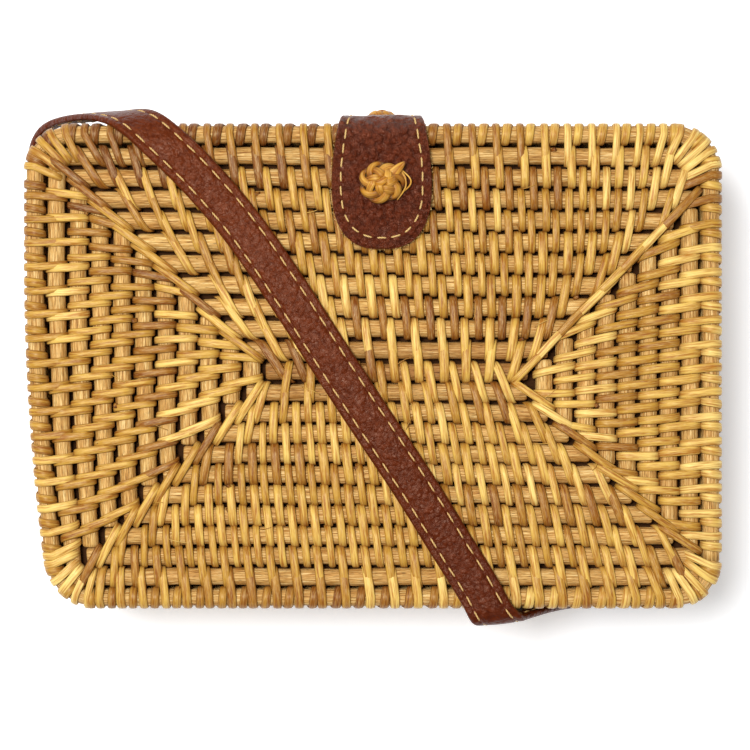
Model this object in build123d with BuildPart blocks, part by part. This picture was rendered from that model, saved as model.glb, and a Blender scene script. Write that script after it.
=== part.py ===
from build123d import *
import math
import os

# Basket box bag, lying on its back. X is its width, Y runs from the hinge side (-Y) to the opening
# side (+Y), Z is its depth: the back half rests at Z = 0 and the front half is the lid above it.
# The origin is the centre of the flat back. Millimetres.

# Driving dimensions of the two woven halves
bag_width = 200.0
bag_height = 139.0
half_depth = 33.0
weave = 6.6  # a cane with a binder strand on each side
corner_radius = 10.0
edge_radius = 4.0
rim_gap = 0.4

# Cloth linings
lining_cloth = 0.8
lining_gap = 0.3
lining_below_rim = 1.5

# Hinge lashings through both rims
lashing_places = (-76.0, 0.0, 76.0)
lashing_width = 8.0
lashing_strand = 1.1
lashing_reach = 8.0  # from the parting level to the far side of each slot
lashing_play = 0.15

# Knots of split rattan that fasten the leather
knot_head_radius = 6.2
knot_head_height = 6.4
knot_neck_radius = 2.0
knot_tail_radius = 4.0
knot_tail = 1.4
knot_play = 0.1
knot_slack = 0.3  # between a knot's head and the leather under it

# Closing flap
leather = 2.0
leather_gap = 0.3
flap_x = 2.5
flap_root_width = 22.5
flap_width = 28.5
flap_tip = 33.2  # Y of the flap's tip on the front
flap_root = 11.0  # Z of the flap's root end
flap_root_knot = 19.5
slit_width = 5.0
slit_length = 10.0
button_y = 52.0

# Shoulder strap
strap_width = 12.5
strap_leather = 2.0
strap_gap = 0.4  # between the strap and the weave that it lies on
strap_knot_y = 38.0
strap_knot_z = 17.5
leather_hole_play = 0.15

# The strap's centre line, from the left knot over the top left corner, across the front, round the
# hinge side, under the back and up the right side: each point, and the direction across the strap
# there. Where the strap goes round an edge, that direction is the edge's own.
strap_route = [
    ((-101.4, 28.0, 17.0), (0.0, 0.0, -1.0)),
    ((-101.4, 38.0, 17.3), (0.0, 0.06, -1.0)),
    ((-101.5, 48.0, 18.8), (0.0, 0.26, -0.97)),
    ((-101.9, 56.4, 21.8), (0.0, 0.42, -0.9)),
    ((-101.8, 64.4, 27.0), (0.15, 0.55, -0.82)),
    ((-98.7, 69.6, 32.2), (0.43, 0.51, -0.74)),
    ((-93.2, 72.8, 38.2), (0.62, 0.25, -0.74)),
    ((-84.6, 74.6, 46.8), (0.72, 0.05, -0.69)),
    ((-75.8, 75.0, 57.2), (0.74, 0.2, -0.64)),
    ((-67.8, 72.4, 66.4), (0.78, 0.45, -0.42)),
    ((-59.6, 64.4, 69.6), (0.75, 0.65, -0.1)),
    ((-50.0, 54.6, 68.0), (0.72, 0.69, 0.0)),
    ((-37.4, 40.2, 67.8), (0.8, 0.6, 0.0)),
    ((-24.0, 20.6, 67.8), (0.84, 0.54, 0.0)),
    ((-5.6, -8.2, 67.8), (0.84, 0.54, 0.0)),
    ((11.8, -34.0, 67.8), (0.84, 0.54, 0.0)),
    ((22.6, -51.6, 67.8), (0.86, 0.5, 0.0)),
    ((29.6, -62.6, 67.8), (0.95, 0.3, 0.0)),
    ((35.6, -72.4, 68.2), (1.0, 0.0, 0.0)),
    ((41.2, -71.8, 58.8), (0.95, 0.0, 0.3)),
    ((51.4, -71.0, 42.6), (0.85, 0.0, 0.52)),
    ((62.0, -71.0, 24.8), (0.85, 0.0, 0.52)),
    ((72.4, -71.2, 8.6), (0.95, 0.0, 0.3)),
    ((78.2, -71.6, -1.4), (1.0, 0.0, 0.0)),
    ((84.0, -62.0, -1.4), (0.97, -0.25, 0.0)),
    ((89.9, -53.0, -1.4), (0.75, -0.66, 0.0)),
    ((95.4, -43.2, -1.4), (0.35, -0.94, 0.0)),
    ((101.6, -33.6, -1.4), (0.0, -1.0, 0.0)),
    ((101.5, -24.0, 4.6), (0.0, -0.9, 0.45)),
    ((101.4, -12.6, 10.8), (0.0, -0.45, 0.9)),
    ((101.5, 2.0, 15.6), (0.0, -0.25, 0.97)),
    ((101.4, 18.0, 17.7), (0.0, -0.05, 1.0)),
    ((101.4, 34.0, 17.8), (0.0, 0.0, 1.0)),
    ((101.5, 48.0, 17.0), (0.0, 0.05, 1.0)),
]

# Levels and planes that the pieces share
parting = half_depth + rim_gap / 2
front_level = 2 * half_depth + rim_gap
top_level = bag_height / 2
hinge_level = -bag_height / 2
front_seat = Plane(origin=(flap_x, button_y, front_level), x_dir=(1, 0, 0), z_dir=(0, 0, 1))
top_seat = Plane(origin=(flap_x, top_level, flap_root_knot), x_dir=(1, 0, 0), z_dir=(0, 1, 0))
left_seat = Plane(
    origin=(-bag_width / 2, strap_knot_y, strap_knot_z), x_dir=(0, 1, 0), z_dir=(-1, 0, 0)
)
right_seat = Plane(
    origin=(bag_width / 2, strap_knot_y, strap_knot_z), x_dir=(0, 1, 0), z_dir=(1, 0, 0)
)


def woven_half(face_level, opens, knot_seats):
    """One tray of the bag: its face lies at face_level and its rim is half_depth further along opens (+1
    or -1). It has the slots and recesses of the lashings, and a hole and a recess for each knot."""
    rim = face_level + opens * half_depth
    slot_z = parting - opens * (lashing_reach - lashing_strand / 2)
    inner_y = hinge_level + weave
    with BuildPart() as half:
        with BuildSketch(Plane.XY.offset(face_level)):
            RectangleRounded(bag_width, bag_height, corner_radius)
        extrude(amount=opens * half_depth)
        face = half.faces().filter_by(Axis.Z).sort_by(Axis.Z)[0 if opens > 0 else -1]
        fillet(face.edges(), edge_radius)
        with BuildSketch(Plane.XY.offset(face_level + opens * weave)):
            RectangleRounded(bag_width - 2 * weave, bag_height - 2 * weave, corner_radius - weave)
        extrude(amount=opens * (half_depth - weave), mode=Mode.SUBTRACT)
        for x in lashing_places:
            with Locations((x, hinge_level + weave / 2, slot_z)):
                Box(
                    lashing_width + 2 * lashing_play,
                    weave,
                    lashing_strand + 2 * lashing_play,
                    mode=Mode.SUBTRACT,
                )
            recess = abs(rim - slot_z)
            with Locations((x, inner_y - (lashing_strand + lashing_play) / 2, (rim + slot_z) / 2)):
                Box(
                    lashing_width + 2 * lashing_play,
                    lashing_strand + lashing_play,
                    recess,
                    mode=Mode.SUBTRACT,
                )
        for seat in knot_seats:
            with BuildSketch(seat):
                Circle(knot_neck_radius + knot_play)
            extrude(amount=-weave, mode=Mode.SUBTRACT)
            with BuildSketch(seat.offset(-weave)):
                Circle(knot_tail_radius + knot_play)
            extrude(amount=knot_tail + knot_play, mode=Mode.SUBTRACT)
    return half


def lining(face_level, opens):
    """A plain cloth tray, sewn in just inside a woven half."""
    set_in = weave + lining_gap
    outer_radius = max(corner_radius - set_in, lining_cloth)
    depth = half_depth - set_in - lining_below_rim
    with BuildPart() as cloth:
        with BuildSketch(Plane.XY.offset(face_level + opens * set_in)):
            RectangleRounded(bag_width - 2 * set_in, bag_height - 2 * set_in, outer_radius)
        extrude(amount=opens * depth)
        far_in = set_in + lining_cloth
        with BuildSketch(Plane.XY.offset(face_level + opens * far_in)):
            RectangleRounded(bag_width - 2 * far_in, bag_height - 2 * far_in, outer_radius - lining_cloth / 2)
        extrude(amount=opens * (depth - lining_cloth), mode=Mode.SUBTRACT)
    return cloth


def rattan_knot(seat, grip):
    """A knot of split rattan through a woven wall: a round head over the leather that it holds, grip from
    the wall's outer face, a neck, and a tail in the recess on the wall's inner face."""
    section = Plane(origin=seat.origin, x_dir=seat.x_dir, z_dir=-seat.y_dir)
    head_foot = 0.7 * knot_head_radius
    head_girth = 1.25 * knot_head_radius
    with BuildPart() as knot:
        with BuildSketch(section):
            with BuildLine():
                Polyline(
                    (0, grip + knot_head_height),
                    (0, -weave),
                    (knot_tail_radius, -weave),
                    (knot_tail_radius, -weave + knot_tail),
                    (knot_neck_radius, -weave + knot_tail),
                    (knot_neck_radius, grip),
                    (head_foot, grip),
                )
                Bezier(
                    (head_foot, grip),
                    (head_girth, grip + 0.1 * knot_head_height),
                    (head_girth, grip + knot_head_height),
                    (0, grip + knot_head_height),
                )
            make_face()
        revolve(axis=Axis(seat.origin, seat.z_dir))
    return knot


back_basket = woven_half(0, 1, [top_seat, left_seat, right_seat])
back_basket.part.label = "back_basket"

front_basket = woven_half(front_level, -1, [front_seat])
front_basket.part.label = "front_basket"

back_lining = lining(0, 1)
back_lining.part.label = "back_lining"

front_lining = lining(front_level, -1)
front_lining.part.label = "front_lining"


def hinge_lashing(x):
    """A flat band of split rattan, wound through the slots of both rims as one closed loop."""
    outer_y = hinge_level - lashing_play - lashing_strand
    inner_y = hinge_level + weave
    middle = ((outer_y + inner_y) / 2, parting)
    with BuildPart() as lashing:
        with BuildSketch(Plane.YZ.offset(x - lashing_width / 2)):
            with Locations(middle):
                RectangleRounded(inner_y - outer_y, 2 * lashing_reach, lashing_strand)
                RectangleRounded(
                    inner_y - outer_y - 2 * lashing_strand,
                    2 * (lashing_reach - lashing_strand),
                    lashing_strand / 4,
                    mode=Mode.SUBTRACT,
                )
        extrude(amount=lashing_width)
    return lashing


lashings = {}
for name, x in zip(("left", "middle", "right"), lashing_places):
    lashings[name] = hinge_lashing(x)
    lashings[name].part.label = f"hinge_lashing_{name}"

# The closing flap: its root lies on the top wall of the back half, and it bends over the edge onto
# the front, where the button knot stands through its slit.
flap_outer_y = top_level + leather_gap + leather
flap_outer_z = front_level + leather_gap + leather
flap_tip_centre = flap_tip + flap_width / 2
with BuildPart() as closure_flap:
    with BuildSketch(Plane.YZ) as side:
        with BuildLine():
            Polyline(
                (flap_outer_y, flap_root),
                (flap_outer_y, flap_outer_z),
                (flap_tip, flap_outer_z),
                (flap_tip, flap_outer_z - leather),
                (flap_outer_y - leather, flap_outer_z - leather),
                (flap_outer_y - leather, flap_root),
                (flap_outer_y, flap_root),
            )
        make_face()
        outer_corner = side.vertices().sort_by(Axis.X).group_by(Axis.Y)[-1].sort_by(Axis.X)[-1]
        fillet(outer_corner, edge_radius + leather_gap + leather)
        inner_corner = side.vertices().filter_by_position(
            Axis.X, flap_outer_y - leather, flap_outer_y - leather
        ).sort_by(Axis.Y)[-1]
        fillet(inner_corner, edge_radius + leather_gap)
    extrude(amount=bag_width / 4, both=True)
    with BuildSketch(Plane.XY):
        with BuildLine() as outline:
            right_side = Bezier(
                (flap_root_width / 2, top_level - 2 * edge_radius),
                (flap_root_width / 2 + 1.4, top_level - 4 * edge_radius),
                (flap_width / 2, flap_tip_centre + edge_radius),
                (flap_width / 2, flap_tip_centre),
            )
            Line((flap_root_width / 2, flap_outer_y), right_side @ 0)
            Line((0, flap_outer_y), (flap_root_width / 2, flap_outer_y))
            CenterArc((0, flap_tip_centre), flap_width / 2, -90, 90)
            mirror(about=Plane.YZ)
        make_face()
    extrude(amount=flap_outer_z, mode=Mode.INTERSECT)
    with BuildSketch(Plane.XY.offset(front_level)):
        with Locations((0, button_y)):
            SlotOverall(slit_length, slit_width, rotation=90)
    extrude(amount=2 * leather, mode=Mode.SUBTRACT)
    with BuildSketch(Plane.XZ.offset(-top_level)):
        with Locations((0, flap_root_knot)):
            Circle(knot_neck_radius + leather_hole_play)
    extrude(amount=-2 * leather, mode=Mode.SUBTRACT)
closure_flap.part.position = (flap_x, 0, 0)
closure_flap.part.label = "closure_flap"

leather_grip = leather_gap + leather + knot_slack
button_knot = rattan_knot(front_seat, leather_grip)
button_knot.part.label = "button_knot"

flap_knot = rattan_knot(top_seat, leather_grip)
flap_knot.part.label = "flap_knot"

# Each end of the strap lies on a side wall under a knot's head.
strap_grip = strap_gap + strap_leather + knot_slack
strap_knot_left = rattan_knot(left_seat, strap_grip)
strap_knot_left.part.label = "strap_knot_left"

strap_knot_right = rattan_knot(right_seat, strap_grip)
strap_knot_right.part.label = "strap_knot_right"


def run_between(i):
    """Length of the run from point i of the strap's route to the next."""
    return (Vector(strap_route[i + 1][0]) - Vector(strap_route[i][0])).length


def turn_at(i):
    """Angle in degrees by which the route turns at its point i."""
    before, here, after = (Vector(strap_route[k][0]) for k in (i - 1, i, i + 1))
    return (here - before).get_angle(after - here)


def across_at(u):
    """Direction across the strap at place u of its route, where point i is at u = i."""
    i = min(int(u), len(strap_route) - 2)
    here, after = (Vector(strap_route[k][1]).normalized() for k in (i, i + 1))
    return (here * (i + 1 - u) + after * (u - i)).normalized()


def strap_section(point, along, u):
    """The plane of the strap's cross-section, and the section's width there."""
    across = across_at(u)
    out = along.cross(across).normalized()
    slant = math.sin(math.radians(across.get_angle(along)))
    return Plane(origin=point, x_dir=across, z_dir=across.cross(out)), strap_width / slant


inner_points = range(1, len(strap_route) - 1)
tangent_lengths = {i: 0.45 * min(run_between(i - 1), run_between(i)) for i in inner_points}
strap_radii = [tangent_lengths[i] / math.tan(math.radians(turn_at(i)) / 2) for i in inner_points]
with BuildLine() as strap_line:
    FilletPolyline([point for point, _ in strap_route], radius=strap_radii)

first_point, last_point = (Vector(strap_route[k][0]) for k in (0, -1))
arcs = strap_line.edges().filter_by(GeomType.CIRCLE)
strap_sections = [strap_section(first_point, Vector(strap_route[1][0]) - first_point, 0)]
for i in inner_points:
    corner = Vector(strap_route[i][0])
    arc = arcs.sort_by_distance(corner)[0]
    into = (corner - Vector(strap_route[i - 1][0])).normalized()
    flip = (arc % 0).dot(into) < (arc % 1).dot(into)
    steps = 2 + int(turn_at(i) / 25)
    u_in = i - tangent_lengths[i] / run_between(i - 1)
    u_out = i + tangent_lengths[i] / run_between(i)
    for k in range(steps + 1):
        share = k / steps
        place = 1 - share if flip else share
        along = (arc % place) * (-1 if flip else 1)
        strap_sections.append(strap_section(arc @ place, along, u_in + share * (u_out - u_in)))
strap_sections.append(
    strap_section(last_point, last_point - Vector(strap_route[-2][0]), len(strap_route) - 1)
)

with BuildPart() as shoulder_strap:
    for plane, width in strap_sections:
        with BuildSketch(plane):
            Rectangle(width, strap_leather)
    loft(ruled=True)
    for seat in (left_seat, right_seat):
        with BuildSketch(seat):
            Circle(knot_neck_radius + leather_hole_play)
        extrude(amount=3 * strap_leather, mode=Mode.SUBTRACT)
shoulder_strap.part.label = "shoulder_strap"

strap_length = strap_line.wires()[0].length
holes = 2 * math.pi * (knot_neck_radius + leather_hole_play) ** 2 * strap_leather
print("strap length", round(strap_length, 1), "mm, arc radii", [round(r, 1) for r in strap_radii])
print(
    "strap volume / (section x length - holes):",
    round(shoulder_strap.part.volume / (strap_width * strap_leather * strap_length - holes), 4),
)

# Each piece goes into its own file, named after its node.
os.makedirs("parts", exist_ok=True)
pieces = [
    back_basket,
    front_basket,
    back_lining,
    front_lining,
    *lashings.values(),
    closure_flap,
    button_knot,
    flap_knot,
    shoulder_strap,
    strap_knot_left,
    strap_knot_right,
]
for piece in pieces:
    export_step(piece.part, f"parts/{piece.part.label}.step")
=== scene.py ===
import math
from collections import namedtuple

import bmesh
import bpy
import numpy as np
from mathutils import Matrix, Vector


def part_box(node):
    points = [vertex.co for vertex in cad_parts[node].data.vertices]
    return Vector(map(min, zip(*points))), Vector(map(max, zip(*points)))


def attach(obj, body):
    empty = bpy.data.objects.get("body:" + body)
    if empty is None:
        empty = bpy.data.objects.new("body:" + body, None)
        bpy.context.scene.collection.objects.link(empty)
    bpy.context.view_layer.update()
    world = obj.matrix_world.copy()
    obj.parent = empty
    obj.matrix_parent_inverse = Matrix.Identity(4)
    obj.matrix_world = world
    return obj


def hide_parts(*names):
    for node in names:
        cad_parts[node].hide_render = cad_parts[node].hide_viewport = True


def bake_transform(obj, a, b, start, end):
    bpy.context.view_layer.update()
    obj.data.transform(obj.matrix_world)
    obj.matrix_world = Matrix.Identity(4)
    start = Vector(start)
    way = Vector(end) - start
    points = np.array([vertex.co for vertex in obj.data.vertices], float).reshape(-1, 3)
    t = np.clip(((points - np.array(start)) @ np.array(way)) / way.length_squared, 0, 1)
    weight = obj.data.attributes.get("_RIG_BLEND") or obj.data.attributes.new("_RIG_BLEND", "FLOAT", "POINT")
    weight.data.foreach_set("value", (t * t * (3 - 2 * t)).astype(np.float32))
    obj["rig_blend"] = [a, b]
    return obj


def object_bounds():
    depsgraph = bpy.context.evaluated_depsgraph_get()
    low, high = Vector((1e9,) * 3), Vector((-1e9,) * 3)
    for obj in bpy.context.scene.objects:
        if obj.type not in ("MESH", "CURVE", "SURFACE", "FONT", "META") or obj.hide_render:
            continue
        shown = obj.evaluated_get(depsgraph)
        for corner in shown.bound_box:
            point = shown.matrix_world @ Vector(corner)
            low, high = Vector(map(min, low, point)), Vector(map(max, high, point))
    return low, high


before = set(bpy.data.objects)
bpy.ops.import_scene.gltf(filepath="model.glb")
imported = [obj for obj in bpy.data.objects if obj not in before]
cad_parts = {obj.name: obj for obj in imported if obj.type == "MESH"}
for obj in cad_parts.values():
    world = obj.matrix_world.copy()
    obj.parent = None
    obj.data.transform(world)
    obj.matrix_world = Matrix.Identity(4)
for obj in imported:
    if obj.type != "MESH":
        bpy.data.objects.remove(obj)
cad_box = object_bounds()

# Basket box bag, lying on its back: two trays of bound rattan cane, a leather closing flap and a
# leather strap. Lengths in this script are millimetres, and become metres when a mesh is made.
MM = 0.001
FULL_TURN = 2 * math.pi


def corners(node):
    """Lowest and highest corner of a CAD node, in millimetres."""
    low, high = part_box(node)
    return np.array(low) / MM, np.array(high) / MM


# ---------------------------------------------------------------- sizes from the frame
basket_low, basket_high = corners("front_basket")
HALF_X, HALF_Y, FRONT = basket_high  # the front face is at level FRONT
PARTING = (basket_low[2] + corners("back_basket")[1][2]) / 2
FLOOR = cad_box[0][2] / MM  # the underside of the strap, on which the bag lies

# ---------------------------------------------------------------- camera, light and floor
CAMERA_AT = (0.6, -2.6)
CAMERA_HEIGHT = 700.0  # above the front face
LENS = 117.9
LIGHTS = (  # name, place, diameter, power
    ("key", (-190, 110, 1100), 300, 11.5),
    ("fill", (-900, 700, 700), 600, 3.0),
)
LIGHTS_AIM = (0, 0, 30)
WORLD_LIGHT = 0.34
FLOOR_GLOW = 0.33
FLOOR_HALF = 4000
CAMERA_CLIP = 0.01  # metres
SMALLEST = 1e-9  # stands in for a length of nothing in a division


def vector(*mm):
    return [value * MM for value in mm]


def new_object(name, data):
    made = bpy.data.objects.new(name, data)
    bpy.context.scene.collection.objects.link(made)
    return made


def new_piece(name, points, faces, material=None, smooth=True):
    """A mesh object made of points in millimetres and faces."""
    mesh = bpy.data.meshes.new(name)
    mesh.from_pydata((np.asarray(points, float) * MM).tolist(), [], faces)
    if smooth:
        mesh.polygons.foreach_set("use_smooth", [True] * len(mesh.polygons))
    if material is not None:
        mesh.materials.append(material)
    return new_object(name, mesh)


def make_camera():
    data = bpy.data.cameras.new("camera")
    data.lens = LENS
    data.clip_start = CAMERA_CLIP
    camera = new_object("camera", data)
    camera.location = vector(*CAMERA_AT, FRONT + CAMERA_HEIGHT)
    bpy.context.scene.camera = camera


def make_light(name, place, size, power):
    data = bpy.data.lights.new(name, "AREA")
    data.shape = "DISK"
    data.size = size * MM
    data.energy = power
    light = new_object(name, data)
    light.location = vector(*place)
    light.rotation_mode = "QUATERNION"
    light.rotation_quaternion = (Vector(LIGHTS_AIM) - Vector(place)).to_track_quat("-Z", "Y")


# ---------------------------------------------------------------- materials
def srgb(red, green, blue):
    """A colour given as 0 to 255, as Blender's linear values."""
    channels = [value / 255 for value in (red, green, blue)]
    return [c / 12.92 if c <= 0.04045 else ((c + 0.055) / 1.055) ** 2.4 for c in channels] + [1.0]


class Nodes:
    """A short way to write a material's node tree."""

    def __init__(self, name):
        self.material = bpy.data.materials.new(name)
        self.material.use_nodes = True
        self.tree = self.material.node_tree
        self.shader = self.tree.nodes["Principled BSDF"]

    def add(self, kind, settings=(), **inputs):
        node = self.tree.nodes.new("ShaderNode" + kind)
        for key, value in dict(settings).items():
            setattr(node, key, value)
        for key, value in inputs.items():
            self.put(node, key, value)
        return node

    def put(self, node, key, value):
        """Links or sets an input, given by its name or, as i0 and so on, by its number."""
        index = int(key[1:]) if key[0] == "i" and key[1:].isdigit() else key.replace("_", " ")
        if isinstance(value, bpy.types.NodeSocket):
            self.tree.links.new(value, node.inputs[index])
        else:
            node.inputs[index].default_value = value

    def place(self, name):
        return self.add("Attribute", {"attribute_name": name}).outputs["Vector"]

    def amount(self, name):
        return self.add("Attribute", {"attribute_name": name}).outputs["Fac"]

    def stretched(self, source, scale):
        """Coordinates scaled by a different amount along each axis."""
        return self.add("VectorMath", {"operation": "MULTIPLY"}, i0=source, i1=scale).outputs[0]

    def noise(self, source, scale=1.0, detail=3.0, rough=0.5, distortion=0.0):
        node = self.add("TexNoise", {}, Vector=source, Scale=scale, Detail=detail)
        node.inputs["Roughness"].default_value = rough
        node.inputs["Distortion"].default_value = distortion
        return node.outputs["Fac"]

    def ramp(self, factor, *stops):
        """Colours by place from 0 to 1. A single number is a grey."""
        node = self.add("ValToRGB", {}, Fac=factor)
        points = node.color_ramp.elements
        while len(points) < len(stops):
            points.new(0.5)
        for point, (place, colour) in zip(points, stops):
            point.position = place
            point.color = colour if not isinstance(colour, (int, float)) else [colour] * 3 + [1.0]
        return node.outputs["Color"]

    def mix(self, factor, one, other, blend="MIX"):
        kind = {"data_type": "RGBA", "blend_type": blend}
        return self.add("Mix", kind, i0=factor, i6=one, i7=other).outputs[2]

    def math(self, operation, one, other=0.0):
        return self.add("Math", {"operation": operation}, i0=one, i1=other).outputs[0]

    def times(self, one, other):
        return self.math("MULTIPLY", one, other)

    def plus(self, one, other):
        return self.math("ADD", one, other)

    def bump(self, height, strength, distance_mm, normal=None):
        node = self.add("Bump", {}, Height=height, Strength=strength, Distance=distance_mm * MM)
        if normal is not None:
            self.put(node, "Normal", normal)
        return node.outputs["Normal"]

    def finish(self, colour, normal, roughness, **settings):
        self.put(self.shader, "Base Color", colour)
        self.put(self.shader, "Normal", normal)
        self.put(self.shader, "Roughness", roughness)
        for key, value in settings.items():
            self.put(self.shader, key, value)
        return self.material


def cane_material():
    """Peeled round cane: pale tan with dark pores and fibres along its length."""
    n = Nodes("peeled_cane")
    grain = n.place("grain")
    fibres = n.noise(n.stretched(grain, (0.16, 2.6, 1.0)), 1.0, 4.0, 0.62)
    pores = n.noise(n.stretched(grain, (0.5, 5.2, 1.0)), 1.0, 2.0, 0.6)
    patches = n.noise(n.stretched(grain, (0.05, 0.25, 1.0)), 1.0, 2.0)
    base = n.ramp(
        fibres,
        (0.30, srgb(120, 72, 20)),
        (0.42, srgb(188, 138, 68)),
        (0.54, srgb(220, 177, 104)),
        (0.68, srgb(252, 222, 156)),
    )
    dark = n.ramp(pores, (0.32, 0.3), (0.46, 1.0))
    colour = n.mix(0.8, base, dark, "MULTIPLY")
    warm = n.mix(n.ramp(patches, (0.38, 0.0), (0.7, 0.3)), colour, srgb(232, 186, 118), "MULTIPLY")
    aged = n.mix(n.amount("tone"), warm, srgb(150, 98, 50), "MULTIPLY")
    normal = n.bump(n.plus(fibres, n.times(pores, 0.4)), 0.6, 0.35)
    return n.finish(aged, normal, 0.55, Specular_IOR_Level=0.3, Specular_Tint=(1.0, 0.9, 0.75, 1.0))


def strand_material(name, *tones):
    """Split rattan with its own glossy skin: yellow to ochre, streaked along its length."""
    n = Nodes(name)
    grain = n.place("grain")
    streaks = n.noise(n.stretched(grain, (0.12, 2.4, 1.0)), 1.0, 3.0, 0.55)
    fine = n.noise(n.stretched(grain, (0.5, 6.5, 1.0)), 1.0, 2.0, 0.6)
    skin = n.ramp(n.amount("tone"), *[(i / (len(tones) - 1), srgb(*c)) for i, c in enumerate(tones)])
    streaked = n.mix(n.ramp(streaks, (0.36, 0.9), (0.6, 0.0)), skin, srgb(184, 132, 62), "MULTIPLY")
    lit = n.mix(n.ramp(fine, (0.5, 0.0), (0.75, 0.3)), streaked, srgb(250, 226, 160))
    # Darker towards each strand's ends: partly painted shade where the ends dive between the canes, partly
    # their browner cut ends
    end_shade_and_tint = n.mix(n.times(n.amount("end"), 0.75), lit, srgb(150, 92, 34), "MULTIPLY")
    normal = n.bump(n.plus(streaks, n.times(fine, 0.5)), 0.55, 0.25)
    return n.finish(end_shade_and_tint, normal, 0.4, Specular_IOR_Level=0.42, Specular_Tint=(1.0, 0.84, 0.58, 1.0))


def leather_material(name, pebble_mm, crease, depth, gloss, lines, base, light, dark, darkened_stretch=None):
    """Red-brown leather with pebbles and soft creases. crease is the creases' height beside the
    pebbles', depth the height of both, lines the painted shade in the hollows between pebbles, and
    darkened_stretch the stretch along the piece over which its colour turns darker."""
    n = Nodes(name)
    place = n.place("flat")
    wavy = n.add("TexNoise", {}, Vector=place, Scale=0.8, Detail=3.0).outputs["Color"]
    shifted = n.add("VectorMath", {"operation": "ADD"}, i0=place, i1=n.stretched(wavy, (0.9, 0.9, 0.0)))
    cells = n.add("TexVoronoi", {"feature": "F1"}, Vector=shifted.outputs[0], Scale=1 / pebble_mm)
    rounded = n.math("SUBTRACT", 1.0, n.times(cells.outputs["Distance"], 1.1))
    pebbles = n.times(rounded, n.ramp(n.noise(place, 0.35, 2.0), (0.35, 0.5), (0.6, 1.0)))
    fine = n.noise(place, 1.3, 3.0, 0.55)
    folds = n.noise(n.stretched(place, (0.5, 0.42, 0.4)), 1.0, 4.0, 0.6, 1.2)
    mottling = n.plus(n.times(fine, 0.5), n.times(folds, 0.5))
    mottled = n.ramp(mottling, (0.36, dark), (0.5, base), (0.66, light))
    # Painted shade: darker in the hollows between the pebbles, by the share lines
    colour = n.mix(n.ramp(rounded, (0.1, lines), (0.5, 0.0)), mottled, dark)
    # Darker along the piece from the start of this stretch, fully so from its end onwards
    if darkened_stretch is not None:
        along = n.add("SeparateXYZ", {}, Vector=place).outputs[1]
        share = n.add("MapRange", {}, i0=along, i1=darkened_stretch[0], i2=darkened_stretch[1], i3=0.0, i4=0.8)
        colour = n.mix(share.outputs[0], colour, srgb(216, 192, 150), "MULTIPLY")
    height = n.plus(pebbles, n.times(folds, crease))
    normal = n.bump(fine, 0.2, 0.15, n.bump(height, 1.0, depth))
    rough = n.ramp(fine, (0.3, 0.3), (0.7, 0.42))
    return n.finish(colour, normal, rough, Specular_IOR_Level=gloss, Specular_Tint=(1.0, 0.62, 0.45, 1.0))


def thread_material(name, dark, light):
    """Twisted sewing thread."""
    n = Nodes(name)
    twist = n.add("VectorMath", {"operation": "DOT_PRODUCT"}, i0=n.place("grain"), i1=(2.6, 3.2, 0.0))
    plies = n.math("SINE", n.times(twist.outputs["Value"], 3.0))
    # Lighter on each ply's crown and darker in the grooves between plies: painted highlight and painted shade
    return n.finish(n.ramp(plies, (0.0, dark), (0.9, light)), n.bump(plies, 0.5, 0.08), 0.6)


def cloth_material():
    """Plain dark brown cotton: fine over-and-under weave."""
    n = Nodes("lining_cotton")
    place = n.place("flat")
    parts = n.add("SeparateXYZ", {}, Vector=place)
    warp = n.math("SINE", n.times(parts.outputs[0], 9.0))
    weft = n.math("SINE", n.times(parts.outputs[1], 9.0))
    slubs = n.noise(n.stretched(place, (0.3, 3.0, 0.3)), 1.0, 3.0)
    shade = n.plus(n.times(slubs, 0.6), n.times(n.noise(place, 0.06, 3.0), 0.4))
    colour = n.ramp(shade, (0.3, srgb(44, 24, 10)), (0.7, srgb(72, 44, 22)))
    return n.finish(colour, n.bump(n.times(warp, weft), 0.4, 0.12), 0.9, Specular_IOR_Level=0.1)


def floor_material():
    """White paper, as good as even, that glows just enough to reach the photograph's white."""
    n = Nodes("white_floor")
    cloud = n.noise(n.add("TexCoord").outputs["Object"], 3.0, 2.0)
    settings = {
        "Base Color": n.ramp(cloud, (0.0, (0.91, 0.925, 0.95, 1.0)), (1.0, (0.93, 0.945, 0.97, 1.0))),
        "Roughness": 0.9,
        "Specular IOR Level": 0.1,
        "Emission Color": (1.0, 1.0, 1.0, 1.0),
        "Emission Strength": FLOOR_GLOW,
    }
    for key, value in settings.items():
        n.put(n.shader, key, value)
    return n.material


def make_stage():
    scene = bpy.context.scene
    scene.view_settings.view_transform = "Standard"
    world = bpy.data.worlds.new("studio")
    world.use_nodes = True
    background = world.node_tree.nodes["Background"]
    background.inputs["Color"].default_value = (1.0, 0.99, 0.97, 1.0)
    background.inputs["Strength"].default_value = WORLD_LIGHT
    scene.world = world
    for light in LIGHTS:
        make_light(*light)
    points = [(x * FLOOR_HALF, y * FLOOR_HALF, FLOOR) for x, y in ((-1, -1), (1, -1), (1, 1), (-1, 1))]
    new_piece("floor", points, [(0, 1, 2, 3)], floor_material(), smooth=False)


make_camera()
make_stage()


# ---------------------------------------------------------------- meshes of rings and swept sections
def unit(vectors):
    return vectors / np.maximum(np.linalg.norm(vectors, axis=-1, keepdims=True), SMALLEST)


def reached(path):
    """Distance along a path at each of its points."""
    return np.concatenate([[0], np.cumsum(np.linalg.norm(np.diff(path, axis=0), axis=1))])


def ring_faces(count, around):
    """Faces between each of count rings and the next, without caps."""
    i, j = np.meshgrid(np.arange(count - 1), np.arange(around), indexing="ij")
    here, beside = i * around + j, i * around + (j + 1) % around
    return np.stack([here, beside, beside + around, here + around], axis=-1).reshape(-1, 4)


def ring_cap(ring, around):
    return [ring * around + j for j in range(around)]


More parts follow.
